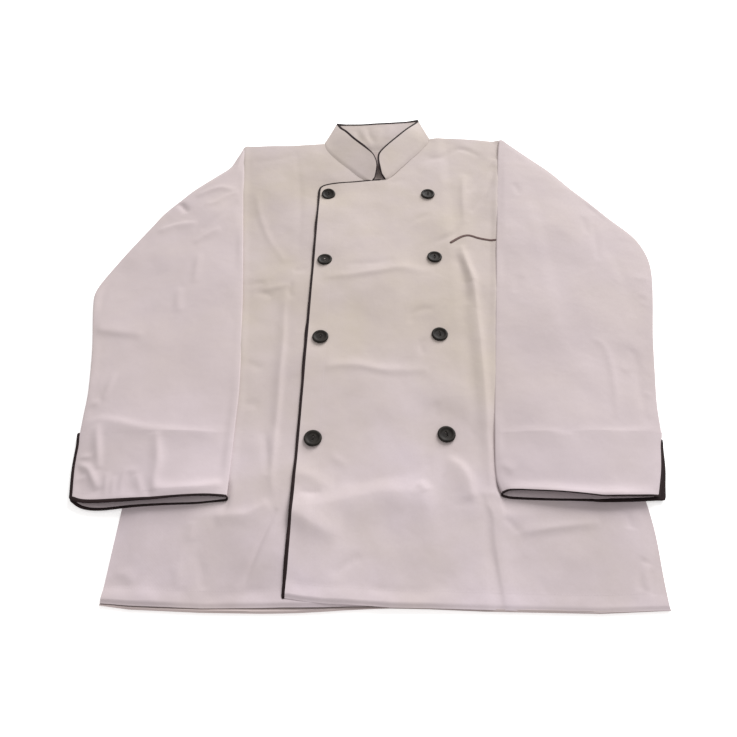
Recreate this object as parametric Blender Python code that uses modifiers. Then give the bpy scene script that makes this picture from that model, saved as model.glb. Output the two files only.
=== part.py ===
"""Double-breasted chef jacket with a stand collar, laid flat on its back.

The front faces up (+Z), the collar points to +Y, the hem to -Y. The wearer's right side is at -X.
The sleeves are folded forward, so that each lies along its side of the body as a flattened tube.
Every cloth piece is a sheet between two edges, thickened upwards by one cloth thickness.
"""

import math

import bmesh
import bpy
from mathutils import Vector

MM = 0.001

# Driving sizes, in millimetres
CLOTH = 1.2            # thickness of a sewn cloth layer
GAP = 0.3              # clear space between two layers, and across a seam
LAYER = CLOTH + GAP    # from one layer's underside to the next
SLEEVE_CLEARANCE = 0.4 # a sleeve's under layer over the table, outside the body
CUFF_SEAM_Y = 190.0    # the seam's place up the body, from the hem
PIPING_WIDTH = 3.2
PIPING_HEIGHT = 1.7
BUTTON_RADIUS = 10.5
UNDERLAP_X = 96.0      # hidden front edge of the under front
STEP_DOWN = 18.0       # width over which the over front comes down past that edge
COLLAR_RISE = 9.0      # top edge of the folded collar halves, over their neck seam
COLLAR_FULL = 40.0     # band height from which that rise is reached; a lower band rises less

# ---------------------------------------------------------------- outlines, plan view
# Armhole and shoulder, from the side seam to the neck.      x, y
RIGHT_SHOULDER = [(-284, 470), (-279, 505), (-270, 545), (-258, 590), (-244, 640),
                  (-232, 685), (-222, 716), (-180, 721), (-130, 725), (-87, 727)]
LEFT_SHOULDER = [(89, 741), (121, 741), (155, 739), (188, 736), (206, 737), (215, 700),
                 (226, 655), (240, 600), (255, 555), (270, 515), (280, 488), (289, 465)]
# Neck edges, from the right shoulder to the left one.       x, y
BACK_NECK = [(-87, 727), (-60, 719), (-30, 715), (0, 714), (35, 718), (65, 729), (89, 741)]
UNDER_NECK = [(-87, 727), (-80, 718.5), (-72, 708.5), (-61, 696), (-48, 679.5), (-36, 662.5),
              (-27, 651), (-20, 641), (-12, 633), (-2, 628), (40, 626), (78, 621), (92, 612),
              (UNDERLAP_X, 598)]
OVER_NECK = [(-93.5, 606), (-93, 616), (-90, 621.5), (-84, 625), (-72, 627.5), (-45, 631),
             (-10, 635), (4, 636), (12, 639), (20, 649), (31, 665), (44, 683), (59, 703),
             (78, 728), (89, 741)]
# Hems.                 x, back, under front, over front
HEM = [(-290, 4.0, 5.5, 12.0),
       (-250, -1.0, 2.5, 12.0),
       (-180, -4.0, 0.0, 12.0),
       (-101, -4.0, 0.0, 8.0),
       (-84, -4.0, 0.0, 2.5),
       (-60, -3.5, 0.5, 0.0),
       (0, -2.0, 1.5, 0.0),
       (100, -3.0, 1.0, -1.5),
       (210, -5.0, 0.0, -4.0),
       (270, -2.5, 0.0, -2.0),
       (290, -2.0, 0.0, -2.0)]
HEM_COLUMN = {"back": 1, "under": 2, "over": 3}

# Sleeves: each row is a line across the tube, at a height up the body.
# y, inner fold x, outer fold x, loft (rise of the upper layer over the under one)
RIGHT_SLEEVE = [(716.0, -220.6, -223.4, 0.6),
                (705, -219.5, -228, 1.1),
                (690, -218, -233, 1.6),
                (665, -215.5, -243, 2.1),
                (645, -213.5, -261, 2.4),
                (612, -210.5, -287, 2.7),
                (591, -208.5, -302, 2.9),
                (559, -205, -324, 3.2),
                (527, -201, -339, 3.2),
                (484, -196, -359, 3.3),
                (445, -191.5, -375.5, 3.3),
                (420, -188.7, -385, 3.3),
                (403, -186.7, -388.5, 3.3),
                (386, -184.9, -386.5, 3.3),
                (356, -182, -379.5, 3.3),
                (308, -177, -367.5, 3.4),
                (248, -172.5, -356, 3.7),
                (214, -171.5, -352.5, 4.5),
                (190, -170.8, -350, 5.4),
                (150, -169.8, -346.5, 6.8),
                (112, -169.0, -339.5, 7.4)]
LEFT_SLEEVE = [(741.0, 204.6, 207.4, 0.6),
               (731, 202, 214, 0.8),
               (714, 198.5, 227, 1.1),
               (688, 194.5, 248, 1.6),
               (655, 190, 275, 2.2),
               (616, 184.5, 300, 2.6),
               (582, 180, 324, 3.0),
               (548, 176, 346, 3.2),
               (519, 172, 367, 3.2),
               (498, 169, 377, 3.2),
               (468, 165, 382, 3.3),
               (436, 161, 379, 3.3),
               (390, 155, 368, 3.3),
               (332, 147.5, 352, 3.4),
               (277, 140.5, 339, 3.4),
               (228, 134, 328, 4.0),
               (190, 129.5, 321.5, 5.2),
               (150, 125.3, 315, 6.6),
               (128, 125.3, 310.5, 7.0),
               (112, 129.5, 306, 7.2)]
# Cuff edges.           share across from the inner fold, upper layer y, under layer y
RIGHT_CUFF_EDGE = [(0.0, 111.0, 110.0), (0.1, 112.0, 108.0), (0.2, 112.0, 107.0),
                   (0.4, 110.5, 106.0), (0.6, 108.0, 104.0), (0.8, 106.5, 100.5),
                   (0.92, 107.5, 103.0), (1.0, 111.5, 111.0)]
LEFT_CUFF_EDGE = [(0.0, 117.0, 115.0), (0.06, 119.0, 112.0), (0.16, 117.5, 110.0),
                  (0.35, 115.5, 110.0), (0.53, 112.5, 110.0), (0.62, 111.3, 109.5),
                  (0.8, 112.3, 110.5), (1.0, 113.5, 112.0)]

# Collar halves, from the fold at the side of the neck to the front end.
# neck seam x, neck seam y, top edge x, top edge y
RIGHT_COLLAR = [(-87, 728, -70.5, 780),
                (-82, 718, -62.5, 763),
                (-74, 708, -51, 746),
                (-62, 694, -37.5, 725),
                (-49, 677, -23, 705),
                (-37, 660, -12.5, 690),
                (-28, 649, -7.2, 675),
                (-22, 643, -6, 662),
                (-19, 641, -8, 651),
                (-17, 640.5, -11, 643.5)]
LEFT_COLLAR = [(90, 742, 69.5, 789),
               (83, 733, 61, 774),
               (73, 720, 47.5, 755),
               (60, 703, 31.5, 734),
               (46, 684, 17, 713),
               (34, 667.5, 6, 696),
               (26, 656.5, 2.4, 680),
               (20, 648, 2.8, 666),
               (16, 643, 6.3, 653),
               (14, 641, 10, 644)]
# Collar at the back of the neck.       neck seam x, neck seam y, top edge x, top edge y
BACK_COLLAR = [(-87, 728, -71.5, 782),
               (-60, 720, -50, 780.5),
               (-30, 716, -26, 780.5),
               (0, 715, -2, 784),
               (35, 719, 26, 788.5),
               (65, 730, 52, 792),
               (89, 742, 70, 792)]

# Chest pocket: mouth edge from the front side to the sleeve side.        x, y
POCKET_MOUTH = [(103, 496.5), (113, 505), (123, 511), (132, 512.5), (145, 507), (158, 503.5),
                (171, 501), (205, 496)]
POCKET_BOTTOM_Y = 388.0

# Buttons.       name, x, y, turn in degrees
BUTTONS = [("button_r1_right", -78, 603, 4),
           ("button_r1_left", 76, 603, -6),
           ("button_r2_right", -78, 464, 8),
           ("button_r2_left", 78, 469, -3),
           ("button_r3_right", -78, 328, -5),
           ("button_r3_left", 76, 332, 7),
           ("button_r4_right", -80, 183, -8),
           ("button_r4_left", 74, 188, 10)]


# ---------------------------------------------------------------- small maths
def ramp(low, high, value):
    """0 below low, 1 above high, with a soft S between."""
    t = min(1.0, max(0.0, (value - low) / (high - low)))
    return t * t * (3 - 2 * t)


def read(table, value, column):
    """Straight-line reading of a table whose first column rises or falls steadily."""
    rows = table if table[0][0] < table[-1][0] else table[::-1]
    if value <= rows[0][0]:
        return rows[0][column]
    for a, b in zip(rows, rows[1:]):
        if value <= b[0]:
            share = (value - a[0]) / (b[0] - a[0])
            return a[column] + share * (b[column] - a[column])
    return rows[-1][column]


def smooth_rows(rows, steps):
    """Rows of a table with `steps` intervals between each pair, on a curve through them."""
    ends = [rows[0]] + list(rows) + [rows[-1]]
    out = []
    for before, a, b, after in zip(ends, ends[1:], ends[2:], ends[3:]):
        for k in range(steps):
            t = k / steps
            out.append(tuple(
                0.5 * (2 * q + (r - p) * t + (2 * p - 5 * q + 4 * r - s) * t * t
                       + (3 * q - p - 3 * r + s) * t ** 3)
                for p, q, r, s in zip(before, a, b, after)))
    return out + [tuple(map(float, rows[-1]))]


def offset_path(points, distance):
    """Plan points moved sideways, to the left of the way they run, by `distance`."""
    out = []
    for i, (x, y) in enumerate(points):
        x0, y0 = points[max(i - 1, 0)]
        x1, y1 = points[min(i + 1, len(points) - 1)]
        length = math.hypot(x1 - x0, y1 - y0)
        out.append((x - (y1 - y0) / length * distance, y + (x1 - x0) / length * distance))
    return out


# ---------------------------------------------------------------- heights of the layers
def body_side_x(side, y):
    """x of the body's edge (side seam, then armhole) at height y; side is -1 right, 1 left."""
    rows = RIGHT_SHOULDER[:7] if side < 0 else LEFT_SHOULDER[4:][::-1]
    return read([(row[1], row[0]) for row in rows], y, 1)


def over_front_low(x, y):
    """Underside of the over front: one layer higher where the under front lies below it."""
    return LAYER * (2 - ramp(UNDERLAP_X + 1, UNDERLAP_X + 1 + STEP_DOWN, x))


def pocket_rise(x, y):
    """How far the sleeve is lifted over the pocket, fading out around it."""
    return LAYER * ramp(80, 95, x) * (1 - ramp(222, 245, x)) * ramp(360, 380, y) * (1 - ramp(525, 548, y))


def sleeve_low(side, x, y):
    """Underside of a sleeve's under layer: on the front, then down to the table beside it."""
    inside = ramp(16, 46, side * (x - body_side_x(side, y)) * 1.0)
    on_front = 2 * LAYER + (pocket_rise(x, y) if side > 0 else 0.0)
    return on_front + (SLEEVE_CLEARANCE - on_front) * inside


# ---------------------------------------------------------------- building blocks
scene = bpy.context.scene


def clear_scene():
    for obj in list(bpy.data.objects):
        bpy.data.objects.remove(obj, do_unlink=True)


def collection(name):
    made = bpy.data.collections.new(name)
    scene.collection.children.link(made)
    return made


def material(name, colour, roughness, metallic=0.0):
    made = bpy.data.materials.new(name)
    made.use_nodes = True
    shader = made.node_tree.nodes["Principled BSDF"]
    shader.inputs["Base Color"].default_value = (*colour, 1)
    shader.inputs["Roughness"].default_value = roughness
    shader.inputs["Metallic"].default_value = metallic
    return made


def add_object(name, mesh, look, where):
    obj = bpy.data.objects.new(name, mesh)
    mesh.materials.clear()
    mesh.materials.append(look)
    where.objects.link(obj)
    return obj


def sheet(name, first_edge, second_edge, across, height, look, thickness=CLOTH):
    """Cloth sheet between two edges of equally many plan points.

    height(x, y, s, t) is its underside: s runs 0 to 1 along the edges, t from the first edge
    to the second. A Solidify modifier grows it upwards.
    """
    columns = len(first_edge)
    bm = bmesh.new()
    grid = bmesh.ops.create_grid(bm, x_segments=columns - 1, y_segments=across, size=0.5)
    for vertex in grid["verts"]:
        s = vertex.co.x + 0.5
        t = vertex.co.y + 0.5
        k = round(s * (columns - 1))
        (ax, ay), (bx, by) = first_edge[k], second_edge[k]
        x, y = ax + (bx - ax) * t, ay + (by - ay) * t
        vertex.co = Vector((x, y, height(x, y, s, t))) * MM
    bmesh.ops.recalc_face_normals(bm, faces=bm.faces)
    bm.normal_update()
    if sum(face.normal.z for face in bm.faces) < 0:
        bmesh.ops.reverse_faces(bm, faces=bm.faces)
    mesh = bpy.data.meshes.new(name)
    bm.to_mesh(mesh)
    bm.free()
    obj = add_object(name, mesh, look, PARTS)
    solid = obj.modifiers.new("cloth thickness", "SOLIDIFY")
    solid.thickness = thickness * MM
    solid.offset = 1
    mesh.shade_smooth()
    mesh.set_sharp_from_angle(angle=math.radians(50))
    return obj


def cord(name, points, look, width=PIPING_WIDTH, height=PIPING_HEIGHT):
    """A piped edge: a round bevelled curve through the points, pressed flat to `height`."""
    flat = height / width
    data = bpy.data.curves.new(name, "CURVE")
    data.dimensions = "3D"
    data.bevel_depth = width / 2 * MM
    data.bevel_resolution = 2
    data.use_fill_caps = True
    spline = data.splines.new("POLY")
    spline.points.add(len(points) - 1)
    for point, (x, y, z) in zip(spline.points, points):
        point.co = (x * MM, y * MM, z * MM / flat, 1)
    data.twist_mode = "Z_UP"
    obj = bpy.data.objects.new(name, data)
    data.materials.append(look)
    PARTS.objects.link(obj)
    obj.scale = (1, 1, flat)
    return obj


clear_scene()
PARTS = collection("chef_jacket")
CUTTERS = collection("cutters")
TWILL = material("ecru_twill", (0.66, 0.58, 0.58), 0.75)
TWILL_INSIDE = material("ecru_twill_inside", (0.62, 0.55, 0.54), 0.8)
PIPING = material("black_piping", (0.012, 0.010, 0.010), 0.6)
PLASTIC = material("button_plastic", (0.020, 0.018, 0.018), 0.25)


# ---------------------------------------------------------------- body
def body_panel(name, top_rows, hem, hem_ends, across, height, look):
    """Panel hung from a top edge: every column runs straight down to the hem."""
    first, last = top_rows[0][0], top_rows[-1][0]
    bottom = []
    for x, _ in top_rows:
        share = (x - first) / (last - first)
        hem_x = hem_ends[0] + share * (hem_ends[1] - hem_ends[0])
        bottom.append((hem_x, read(HEM, hem_x, HEM_COLUMN[hem])))
    return sheet(name, bottom, top_rows, across, height, look)


right_shoulder = smooth_rows(RIGHT_SHOULDER, 2)
left_shoulder = smooth_rows(LEFT_SHOULDER, 2)
back_top = right_shoulder + smooth_rows(BACK_NECK, 2)[1:-1] + left_shoulder
under_top = right_shoulder + smooth_rows(UNDER_NECK, 2)[1:]
over_top = smooth_rows(OVER_NECK, 2)[:-1] + left_shoulder

body_panel("back_panel", back_top, "back", (-280, 279), 3, lambda x, y, s, t: 0.0, TWILL_INSIDE)
body_panel("front_right_under", under_top, "under", (-279.5, UNDERLAP_X), 4,
           lambda x, y, s, t: LAYER, TWILL)
body_panel("front_left_over", over_top, "over", (-99.5, 278), 4,
           lambda x, y, s, t: over_front_low(x, y), TWILL)

# The piping starts at the collar, follows the top edge, turns the rounded corner and goes down.
over_edge_top = [(x, y) for x, y in over_top if x <= 5][::-1]
over_edge_front = [(-93.5 + (604 - y) / 596 * -6.0, y) for y in range(580, 8, -44)] + [(-99.5, 8.5)]
edge_path = offset_path(over_edge_top + over_edge_front, -(PIPING_WIDTH / 2 + GAP))
cord("front_edge_piping",
     [(x, y, 2 * LAYER + PIPING_HEIGHT / 2) for x, y in edge_path], PIPING)

# ---------------------------------------------------------------- pocket
mouth = smooth_rows(POCKET_MOUTH, 2)
sheet("pocket_patch", [(x, POCKET_BOTTOM_Y) for x, _ in mouth], mouth, 2,
      lambda x, y, s, t: over_front_low(x, y) + LAYER + 0.1, TWILL)
pocket_path = offset_path(mouth, 1.0 + GAP)
cord("pocket_piping",
     [(x, y, over_front_low(x, y) + LAYER + 0.15 + 0.55) for x, y in pocket_path],
     PIPING, width=2.0, height=1.1)


# ---------------------------------------------------------------- sleeves and cuffs
def tube_profile(t):
    """Rise of the upper layer across the flattened tube, 0 at both folds."""
    return math.sin(math.pi * min(1, max(0, t))) ** 0.62


def sleeve_layers(prefix, side, rows, cuff_edge):
    """Upper and under layers of a sleeve and of its cuff, with the cuff's black binding."""
    fine = smooth_rows(rows, 1)
    arm = [row for row in fine if row[0] > CUFF_SEAM_Y + 2]
    arm.append((CUFF_SEAM_Y + GAP, read(rows, CUFF_SEAM_Y, 1), read(rows, CUFF_SEAM_Y, 2),
                read(rows, CUFF_SEAM_Y, 3)))

    def low(x, y):
        return sleeve_low(side, x, y)

    def upper_low(x, y, t):
        return low(x, y) + LAYER + 0.1 + read(rows, y, 3) * tube_profile(t)

    def inset(row, amount):
        """Under layer: a little narrower than the upper one at both folds."""
        y, inner, outer, _ = row
        way = 1 if outer > inner else -1
        room = min(amount, abs(outer - inner) * 0.2)
        return (inner + way * room, y), (outer - way * room, y)

    inner_edge = [(row[1], row[0]) for row in arm]
    outer_edge = [(row[2], row[0]) for row in arm]
    sheet(f"sleeve_{prefix}_upper", inner_edge, outer_edge, 10,
          lambda x, y, s, t: upper_low(x, y, t), TWILL)
    pairs = [inset(row, 2.0) for row in arm[1:]]
    sheet(f"sleeve_{prefix}_under", [p[0] for p in pairs], [p[1] for p in pairs], 8,
          lambda x, y, s, t: low(x, y), TWILL)

    # Cuff: columns run from the seam to the edge, across the tube from the inner fold.
    shares = [k / 12 for k in range(13)]
    for layer, column in (("upper", 1), ("under", 2)):
        seam, edge = [], []
        for share in shares:
            narrow = 0.0 if layer == "upper" else 0.012
            t = narrow + share * (1 - 2 * narrow)
            edge_y = read(cuff_edge, share, column)
            inner, outer = read(rows, edge_y, 1), read(rows, edge_y, 2)
            edge.append((inner + t * (outer - inner), edge_y))
            inner, outer = read(rows, CUFF_SEAM_Y, 1), read(rows, CUFF_SEAM_Y, 2)
            seam.append((inner + t * (outer - inner), CUFF_SEAM_Y))

        def underside(x, y, s, t, layer=layer):
            return upper_low(x, y, s) if layer == "upper" else low(x, y)

        sheet(f"cuff_{prefix}_{layer}", seam, edge, 4, underside, TWILL)
        # Binding: down the slit at the outer fold, round the corner, along the edge.
        tall = PIPING_HEIGHT if layer == "upper" else CLOTH + 0.1
        reach = PIPING_WIDTH / 2 + GAP
        corner = edge[-1]
        slit = [(seam[-1][0] + (corner[0] - seam[-1][0]) * k / 6,
                 seam[-1][1] + (corner[1] - seam[-1][1]) * k / 6) for k in range(7)]
        down = offset_path(slit, reach * side)[:-1]
        turn = [(corner[0] + side * reach * math.cos(a), corner[1] - reach * math.sin(a))
                for a in (math.radians(d) for d in (10, 35, 60, 85))]
        back = offset_path(edge[::-1], reach * side)[1:]
        path = ([(p, q, 1.0) for p, q in zip(down, slit)] + [(p, corner, 1.0) for p in turn]
                + [(p, q, share) for p, q, share in zip(back, edge[-2::-1], shares[-2::-1])])
        cord(f"cuff_{prefix}_{layer}_binding",
             [(x, y, underside(px, py, share, 1) + tall / 2) for (x, y), (px, py), share in path],
             PIPING, height=tall)


sleeve_layers("right", -1, RIGHT_SLEEVE, RIGHT_CUFF_EDGE)
sleeve_layers("left", 1, LEFT_SLEEVE, LEFT_CUFF_EDGE)


# ---------------------------------------------------------------- collar
def collar_half(prefix, rows, front_top, floor_side):
    """One half of the stand collar, folded forward at the side of the neck."""
    fine = smooth_rows(rows, 2)
    count = len(fine) - 1

    def underside(x, y, s, t):
        seam = front_top + GAP
        row = fine[round(s * count)]
        full = min(1.0, math.dist(row[:2], row[2:4]) / COLLAR_FULL)
        rise = COLLAR_RISE * full * t ** 0.8 * (0.45 + 0.55 * ramp(0.0, 0.25, s))
        fall_to_fold = (front_top - LAYER) * (1 - ramp(0.0, 0.12, s)) * t
        return seam + rise - fall_to_fold

    seam_edge = [(row[0], row[1]) for row in fine]
    top_edge = [(row[2], row[3]) for row in fine]
    sheet(f"collar_{prefix}", seam_edge, top_edge, 5, underside, TWILL)
    ends = [(top_edge[k], k / count, 1.0) for k in range(count + 1)]
    path = offset_path([p for p, _, _ in ends], (PIPING_WIDTH / 2 + GAP) * floor_side)
    cord(f"collar_{prefix}_piping",
         [(x, y, underside(x, y, s, t) + PIPING_HEIGHT / 2 - 0.1)
          for (x, y), (_, s, t) in zip(path, ends)], PIPING)


collar_half("right", RIGHT_COLLAR, LAYER + CLOTH, 1)
collar_half("left", LEFT_COLLAR, 2 * LAYER + CLOTH, -1)

back_rows = smooth_rows(BACK_COLLAR, 2)
sheet("collar_back", [(row[0], row[1]) for row in back_rows],
      [(row[2], row[3]) for row in back_rows], 3, lambda x, y, s, t: GAP, TWILL_INSIDE)
back_edge = offset_path([(row[2], row[3]) for row in back_rows], 1.2 + GAP)
cord("collar_back_piping", [(x, y, GAP + 0.7) for x, y in back_edge], PIPING,
     width=2.4, height=1.4)


# ---------------------------------------------------------------- buttons
def button_mesh():
    """Turned button with a raised rim, two thread holes and the slot that joins them."""
    profile = [(0.0, 2.3), (5.4, 2.3), (6.6, 2.7), (7.7, 3.4), (8.8, 3.6), (9.8, 3.3),
               (10.35, 2.6), (BUTTON_RADIUS, 1.8), (10.1, 0.8), (8.9, 0.15), (7.6, 0.0),
               (0.0, 0.0)]   # radius, height: from the middle of the top, down the outside
    bm = bmesh.new()
    ring = [bm.verts.new((r * MM, 0, z * MM)) for r, z in profile]
    for a, b in zip(ring, ring[1:]):
        bm.edges.new((a, b))
    mesh = bpy.data.meshes.new("button_profile")
    bm.to_mesh(mesh)
    bm.free()
    turned = add_object("button_turned", mesh, PLASTIC, CUTTERS)
    screw = turned.modifiers.new("turn", "SCREW")
    screw.steps = screw.render_steps = 32
    screw.use_merge_vertices = True
    screw.merge_threshold = 0.00001
    # Slot and holes
    bpy.ops.mesh.primitive_uv_sphere_add(segments=20, ring_count=10, radius=1)
    slot = bpy.context.object
    slot.name = "button_slot_cutter"
    slot.scale = (1.5 * MM, 4.4 * MM, 0.9 * MM)
    slot.location = (0, 0, 2.35 * MM)
    cutters = [slot]
    for end in (-1, 1):
        bpy.ops.mesh.primitive_cylinder_add(vertices=12, radius=0.95 * MM, depth=8 * MM,
                                            location=(0, end * 2.1 * MM, 1.5 * MM))
        hole = bpy.context.object
        hole.name = "button_hole_cutter_" + ("a" if end < 0 else "b")
        cutters.append(hole)
    for cutter in cutters:
        for holder in list(cutter.users_collection):
            holder.objects.unlink(cutter)
        CUTTERS.objects.link(cutter)
        cutter.hide_render = True
        cutter.display_type = "WIRE"
        cut = turned.modifiers.new(cutter.name, "BOOLEAN")
        cut.operation = "DIFFERENCE"
        cut.object = cutter
    bpy.context.view_layer.update()
    done = bpy.data.meshes.new_from_object(
        turned.evaluated_get(bpy.context.evaluated_depsgraph_get()))
    done.name = "button"
    turned.hide_render = True
    turned.display_type = "WIRE"
    done.shade_smooth()
    done.set_sharp_from_angle(angle=math.radians(35))
    return done


shared_button = button_mesh()
for name, x, y, turn in BUTTONS:
    button = add_object(name, shared_button, PLASTIC, PARTS)
    button.location = (x * MM, y * MM, (2 * LAYER + CLOTH + GAP) * MM)
    button.rotation_euler = (0, 0, math.radians(turn))


# ---------------------------------------------------------------- place on the origin
def centre_on_origin():
    """Moves the jacket so that the origin is the middle of its underside's box."""
    bpy.context.view_layer.update()
    graph = bpy.context.evaluated_depsgraph_get()
    low, high = [1e9] * 3, [-1e9] * 3
    for obj in PARTS.objects:
        shape = obj.evaluated_get(graph)
        mesh = shape.to_mesh()
        for vertex in mesh.vertices:
            place = shape.matrix_world @ vertex.co
            for axis in range(3):
                low[axis] = min(low[axis], place[axis])
                high[axis] = max(high[axis], place[axis])
        shape.to_mesh_clear()
    shift = Vector(((low[0] + high[0]) / 2, (low[1] + high[1]) / 2, low[2]))
    for obj in PARTS.objects:
        obj.location = Vector(obj.location) - shift
    print("moved by", [round(v / MM, 3) for v in shift],
          "size", [round((h - l) / MM, 1) for l, h in zip(low, high)])


centre_on_origin()
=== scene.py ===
# %% [markdown]
# # A double-breasted chef jacket, laid flat on its back
#
# This lesson dresses a plain model of a jacket in real cloth. The plain model, the frame, already
# holds every piece at its true size. Here each piece is cut again as a fine thin shell, with the
# creases that folding and handling left in it, and gets the finish of the real thing.

# %% Load the frame
import math

import bmesh
import bpy
import numpy as np
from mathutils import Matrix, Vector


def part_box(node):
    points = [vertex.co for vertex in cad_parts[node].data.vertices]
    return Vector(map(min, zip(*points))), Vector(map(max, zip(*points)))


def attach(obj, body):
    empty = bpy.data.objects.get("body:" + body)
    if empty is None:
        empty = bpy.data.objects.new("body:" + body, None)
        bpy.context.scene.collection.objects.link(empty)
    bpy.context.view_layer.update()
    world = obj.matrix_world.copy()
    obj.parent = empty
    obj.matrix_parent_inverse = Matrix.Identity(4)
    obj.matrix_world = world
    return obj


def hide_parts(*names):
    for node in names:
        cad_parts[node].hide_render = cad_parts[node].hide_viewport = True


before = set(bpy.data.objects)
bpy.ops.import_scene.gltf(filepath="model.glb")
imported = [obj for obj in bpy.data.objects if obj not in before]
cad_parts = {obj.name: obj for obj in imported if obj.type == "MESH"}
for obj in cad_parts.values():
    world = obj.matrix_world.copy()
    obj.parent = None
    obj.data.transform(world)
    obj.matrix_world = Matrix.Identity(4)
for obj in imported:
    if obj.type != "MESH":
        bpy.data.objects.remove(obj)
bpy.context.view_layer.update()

# %% [markdown]
# ## The cutting plan
#
# A tailor draws on a flat table, so all the tables below are in millimetres on it: x to the right,
# y from the hem towards the collar, z up. The wearer's right side is on the left. One corner that
# both know, the lower front corner of the chest pocket, ties the plan to the frame.

# %% Plan and frame
MM = 0.001
POCKET_CORNER = (103.0, 388.0)

pocket_low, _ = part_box("pocket_patch")
PLAN_ORIGIN = np.array([pocket_low[0] - POCKET_CORNER[0] * MM,
                        pocket_low[1] - POCKET_CORNER[1] * MM, 0.0])


def place(points):
    """Plan millimetres to metres in the frame."""
    return np.asarray(points, float) * MM + PLAN_ORIGIN


print("plan origin in the frame", [round(float(v) * 1000, 2) for v in PLAN_ORIGIN], "mm")

# %% [markdown]
# ## Small maths that cloth needs
#
# Cloth has no hard corners in its relief, so three soft tools do nearly everything: a ramp with an
# S-shaped start and end, a curve through a few chosen rows of a table, and a reader that looks a
# value up between two rows. Three more walk along a line: how far, which way, and in even steps.

# %% Ramps, curves and table readers
def ramp(low, high, value):
    """0 below low, 1 above high, with a soft S between."""
    t = np.clip((np.asarray(value, float) - low) / (high - low), 0, 1)
    return t * t * (3 - 2 * t)


def curve(rows, steps):
    """Rows with `steps` intervals between each pair, on a smooth curve through them."""
    rows = np.asarray(rows, float)
    ends = np.vstack([rows[:1], rows, rows[-1:]])
    t = (np.arange(steps) / steps)[:, None]
    out = []
    for p, q, r, s in zip(ends, ends[1:], ends[2:], ends[3:]):
        out.append(0.5 * (2 * q + (r - p) * t + (2 * p - 5 * q + 4 * r - s) * t ** 2
                          + (3 * q - p - 3 * r + s) * t ** 3))
    return np.vstack(out + [rows[-1:]])


def lookup(rows, value, column):
    """Straight-line reading of a column of a table whose first column rises or falls."""
    rows = np.asarray(rows, float)
    if rows[0, 0] > rows[-1, 0]:
        rows = rows[::-1]
    return np.interp(value, rows[:, 0], rows[:, column])


def walked(strides):
    """Distance from the start at each point of a line, from the strides between its points."""
    return np.concatenate([[0], np.cumsum(strides)])


def unit(vectors):
    """The same directions, one long."""
    return vectors / np.linalg.norm(vectors, axis=1)[:, None]


def even(points, step, weights=(1.0, 1.0)):
    """The same line with its points about `step` apart, measured with a weight on each axis."""
    points = np.asarray(points, float)
    weights = np.array(list(weights) + [0.0] * (points.shape[1] - len(weights)))
    along = walked(np.linalg.norm(np.diff(points, axis=0) * weights, axis=1))
    count = max(2, int(round(along[-1] / step)) + 1)
    wanted = np.linspace(0, along[-1], count)
    return np.column_stack([np.interp(wanted, along, points[:, k])
                            for k in range(points.shape[1])])


print("ramp at the middle:", float(ramp(0, 10, 5)))

# %% [markdown]
# ## Outlines of the cut pieces
#
# These are the driving lines of the pattern: shoulder and armhole, neck, hem and the two folded
# sleeves. They repeat the lines that the frame was cut from, because a shell must sit where its
# frame piece sits.

# %% Shoulder, neck and hem lines
# x, y
RIGHT_SHOULDER = [(-284, 470), (-279, 505), (-270, 545), (-258, 590), (-244, 640),
                  (-232, 685), (-222, 719), (-200, 720.5), (-147, 721.5), (-120, 725), (-87, 730)]
LEFT_SHOULDER = [(85, 742), (100, 745), (121, 745.5), (155, 742), (188, 736), (206, 736.5),
                 (215, 700), (226, 655), (240, 600), (255, 555), (270, 515), (280, 488),
                 (289, 465)]
BACK_NECK = [(-87, 730), (-60, 719), (-30, 715), (0, 714), (35, 718), (65, 729), (85, 742)]
UNDER_NECK = [(-87, 730), (-80, 718.5), (-72, 708.5), (-61, 696), (-48, 679.5), (-36, 662.5),
              (-27, 651), (-20, 641), (-12, 633), (-2, 628), (40, 626), (78, 621), (92, 612),
              (96, 598)]
OVER_NECK = [(-91.5, 606), (-91, 615.5), (-88.5, 621), (-83, 624.5), (-72, 627.5), (-45, 631),
             (-10, 635), (4, 636), (12, 639), (20, 649), (31, 665), (44, 683), (59, 703),
             (76, 728), (85, 742)]
# x, back, under front, over front
HEM = [(-290, 4.0, 5.5, 12.0), (-250, -1.0, 2.5, 12.0), (-180, -4.0, 0.0, 12.0),
       (-120, -4.8, 0.4, 11.0), (-101, -4.6, 0.8, 9.5), (-84, -4.2, 0.8, 6.8),
       (-60, -3.0, 1.0, 4.1), (-38, -1.6, 1.5, 3.2), (-15, -0.6, 2.0, 1.8), (5, 0.0, 2.0, 0.4),
       (40, -0.6, 1.5, -0.1), (100, -3.0, 1.0, -1.5), (210, -5.0, 0.0, -4.0),
       (270, -2.5, 0.0, -2.0), (290, -2.0, 0.0, -2.0)]
HEM_COLUMN = {"back": 1, "under": 2, "over": 3}
HEM_ENDS = {"back": (-280, 279), "under": (-279.5, 96), "over": (-98.5, 278)}
# Front edge of the over front, which leans out a little towards the hem: y, x
FRONT_EDGE = [(8, -98.5), (604, -91.5)]

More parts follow.
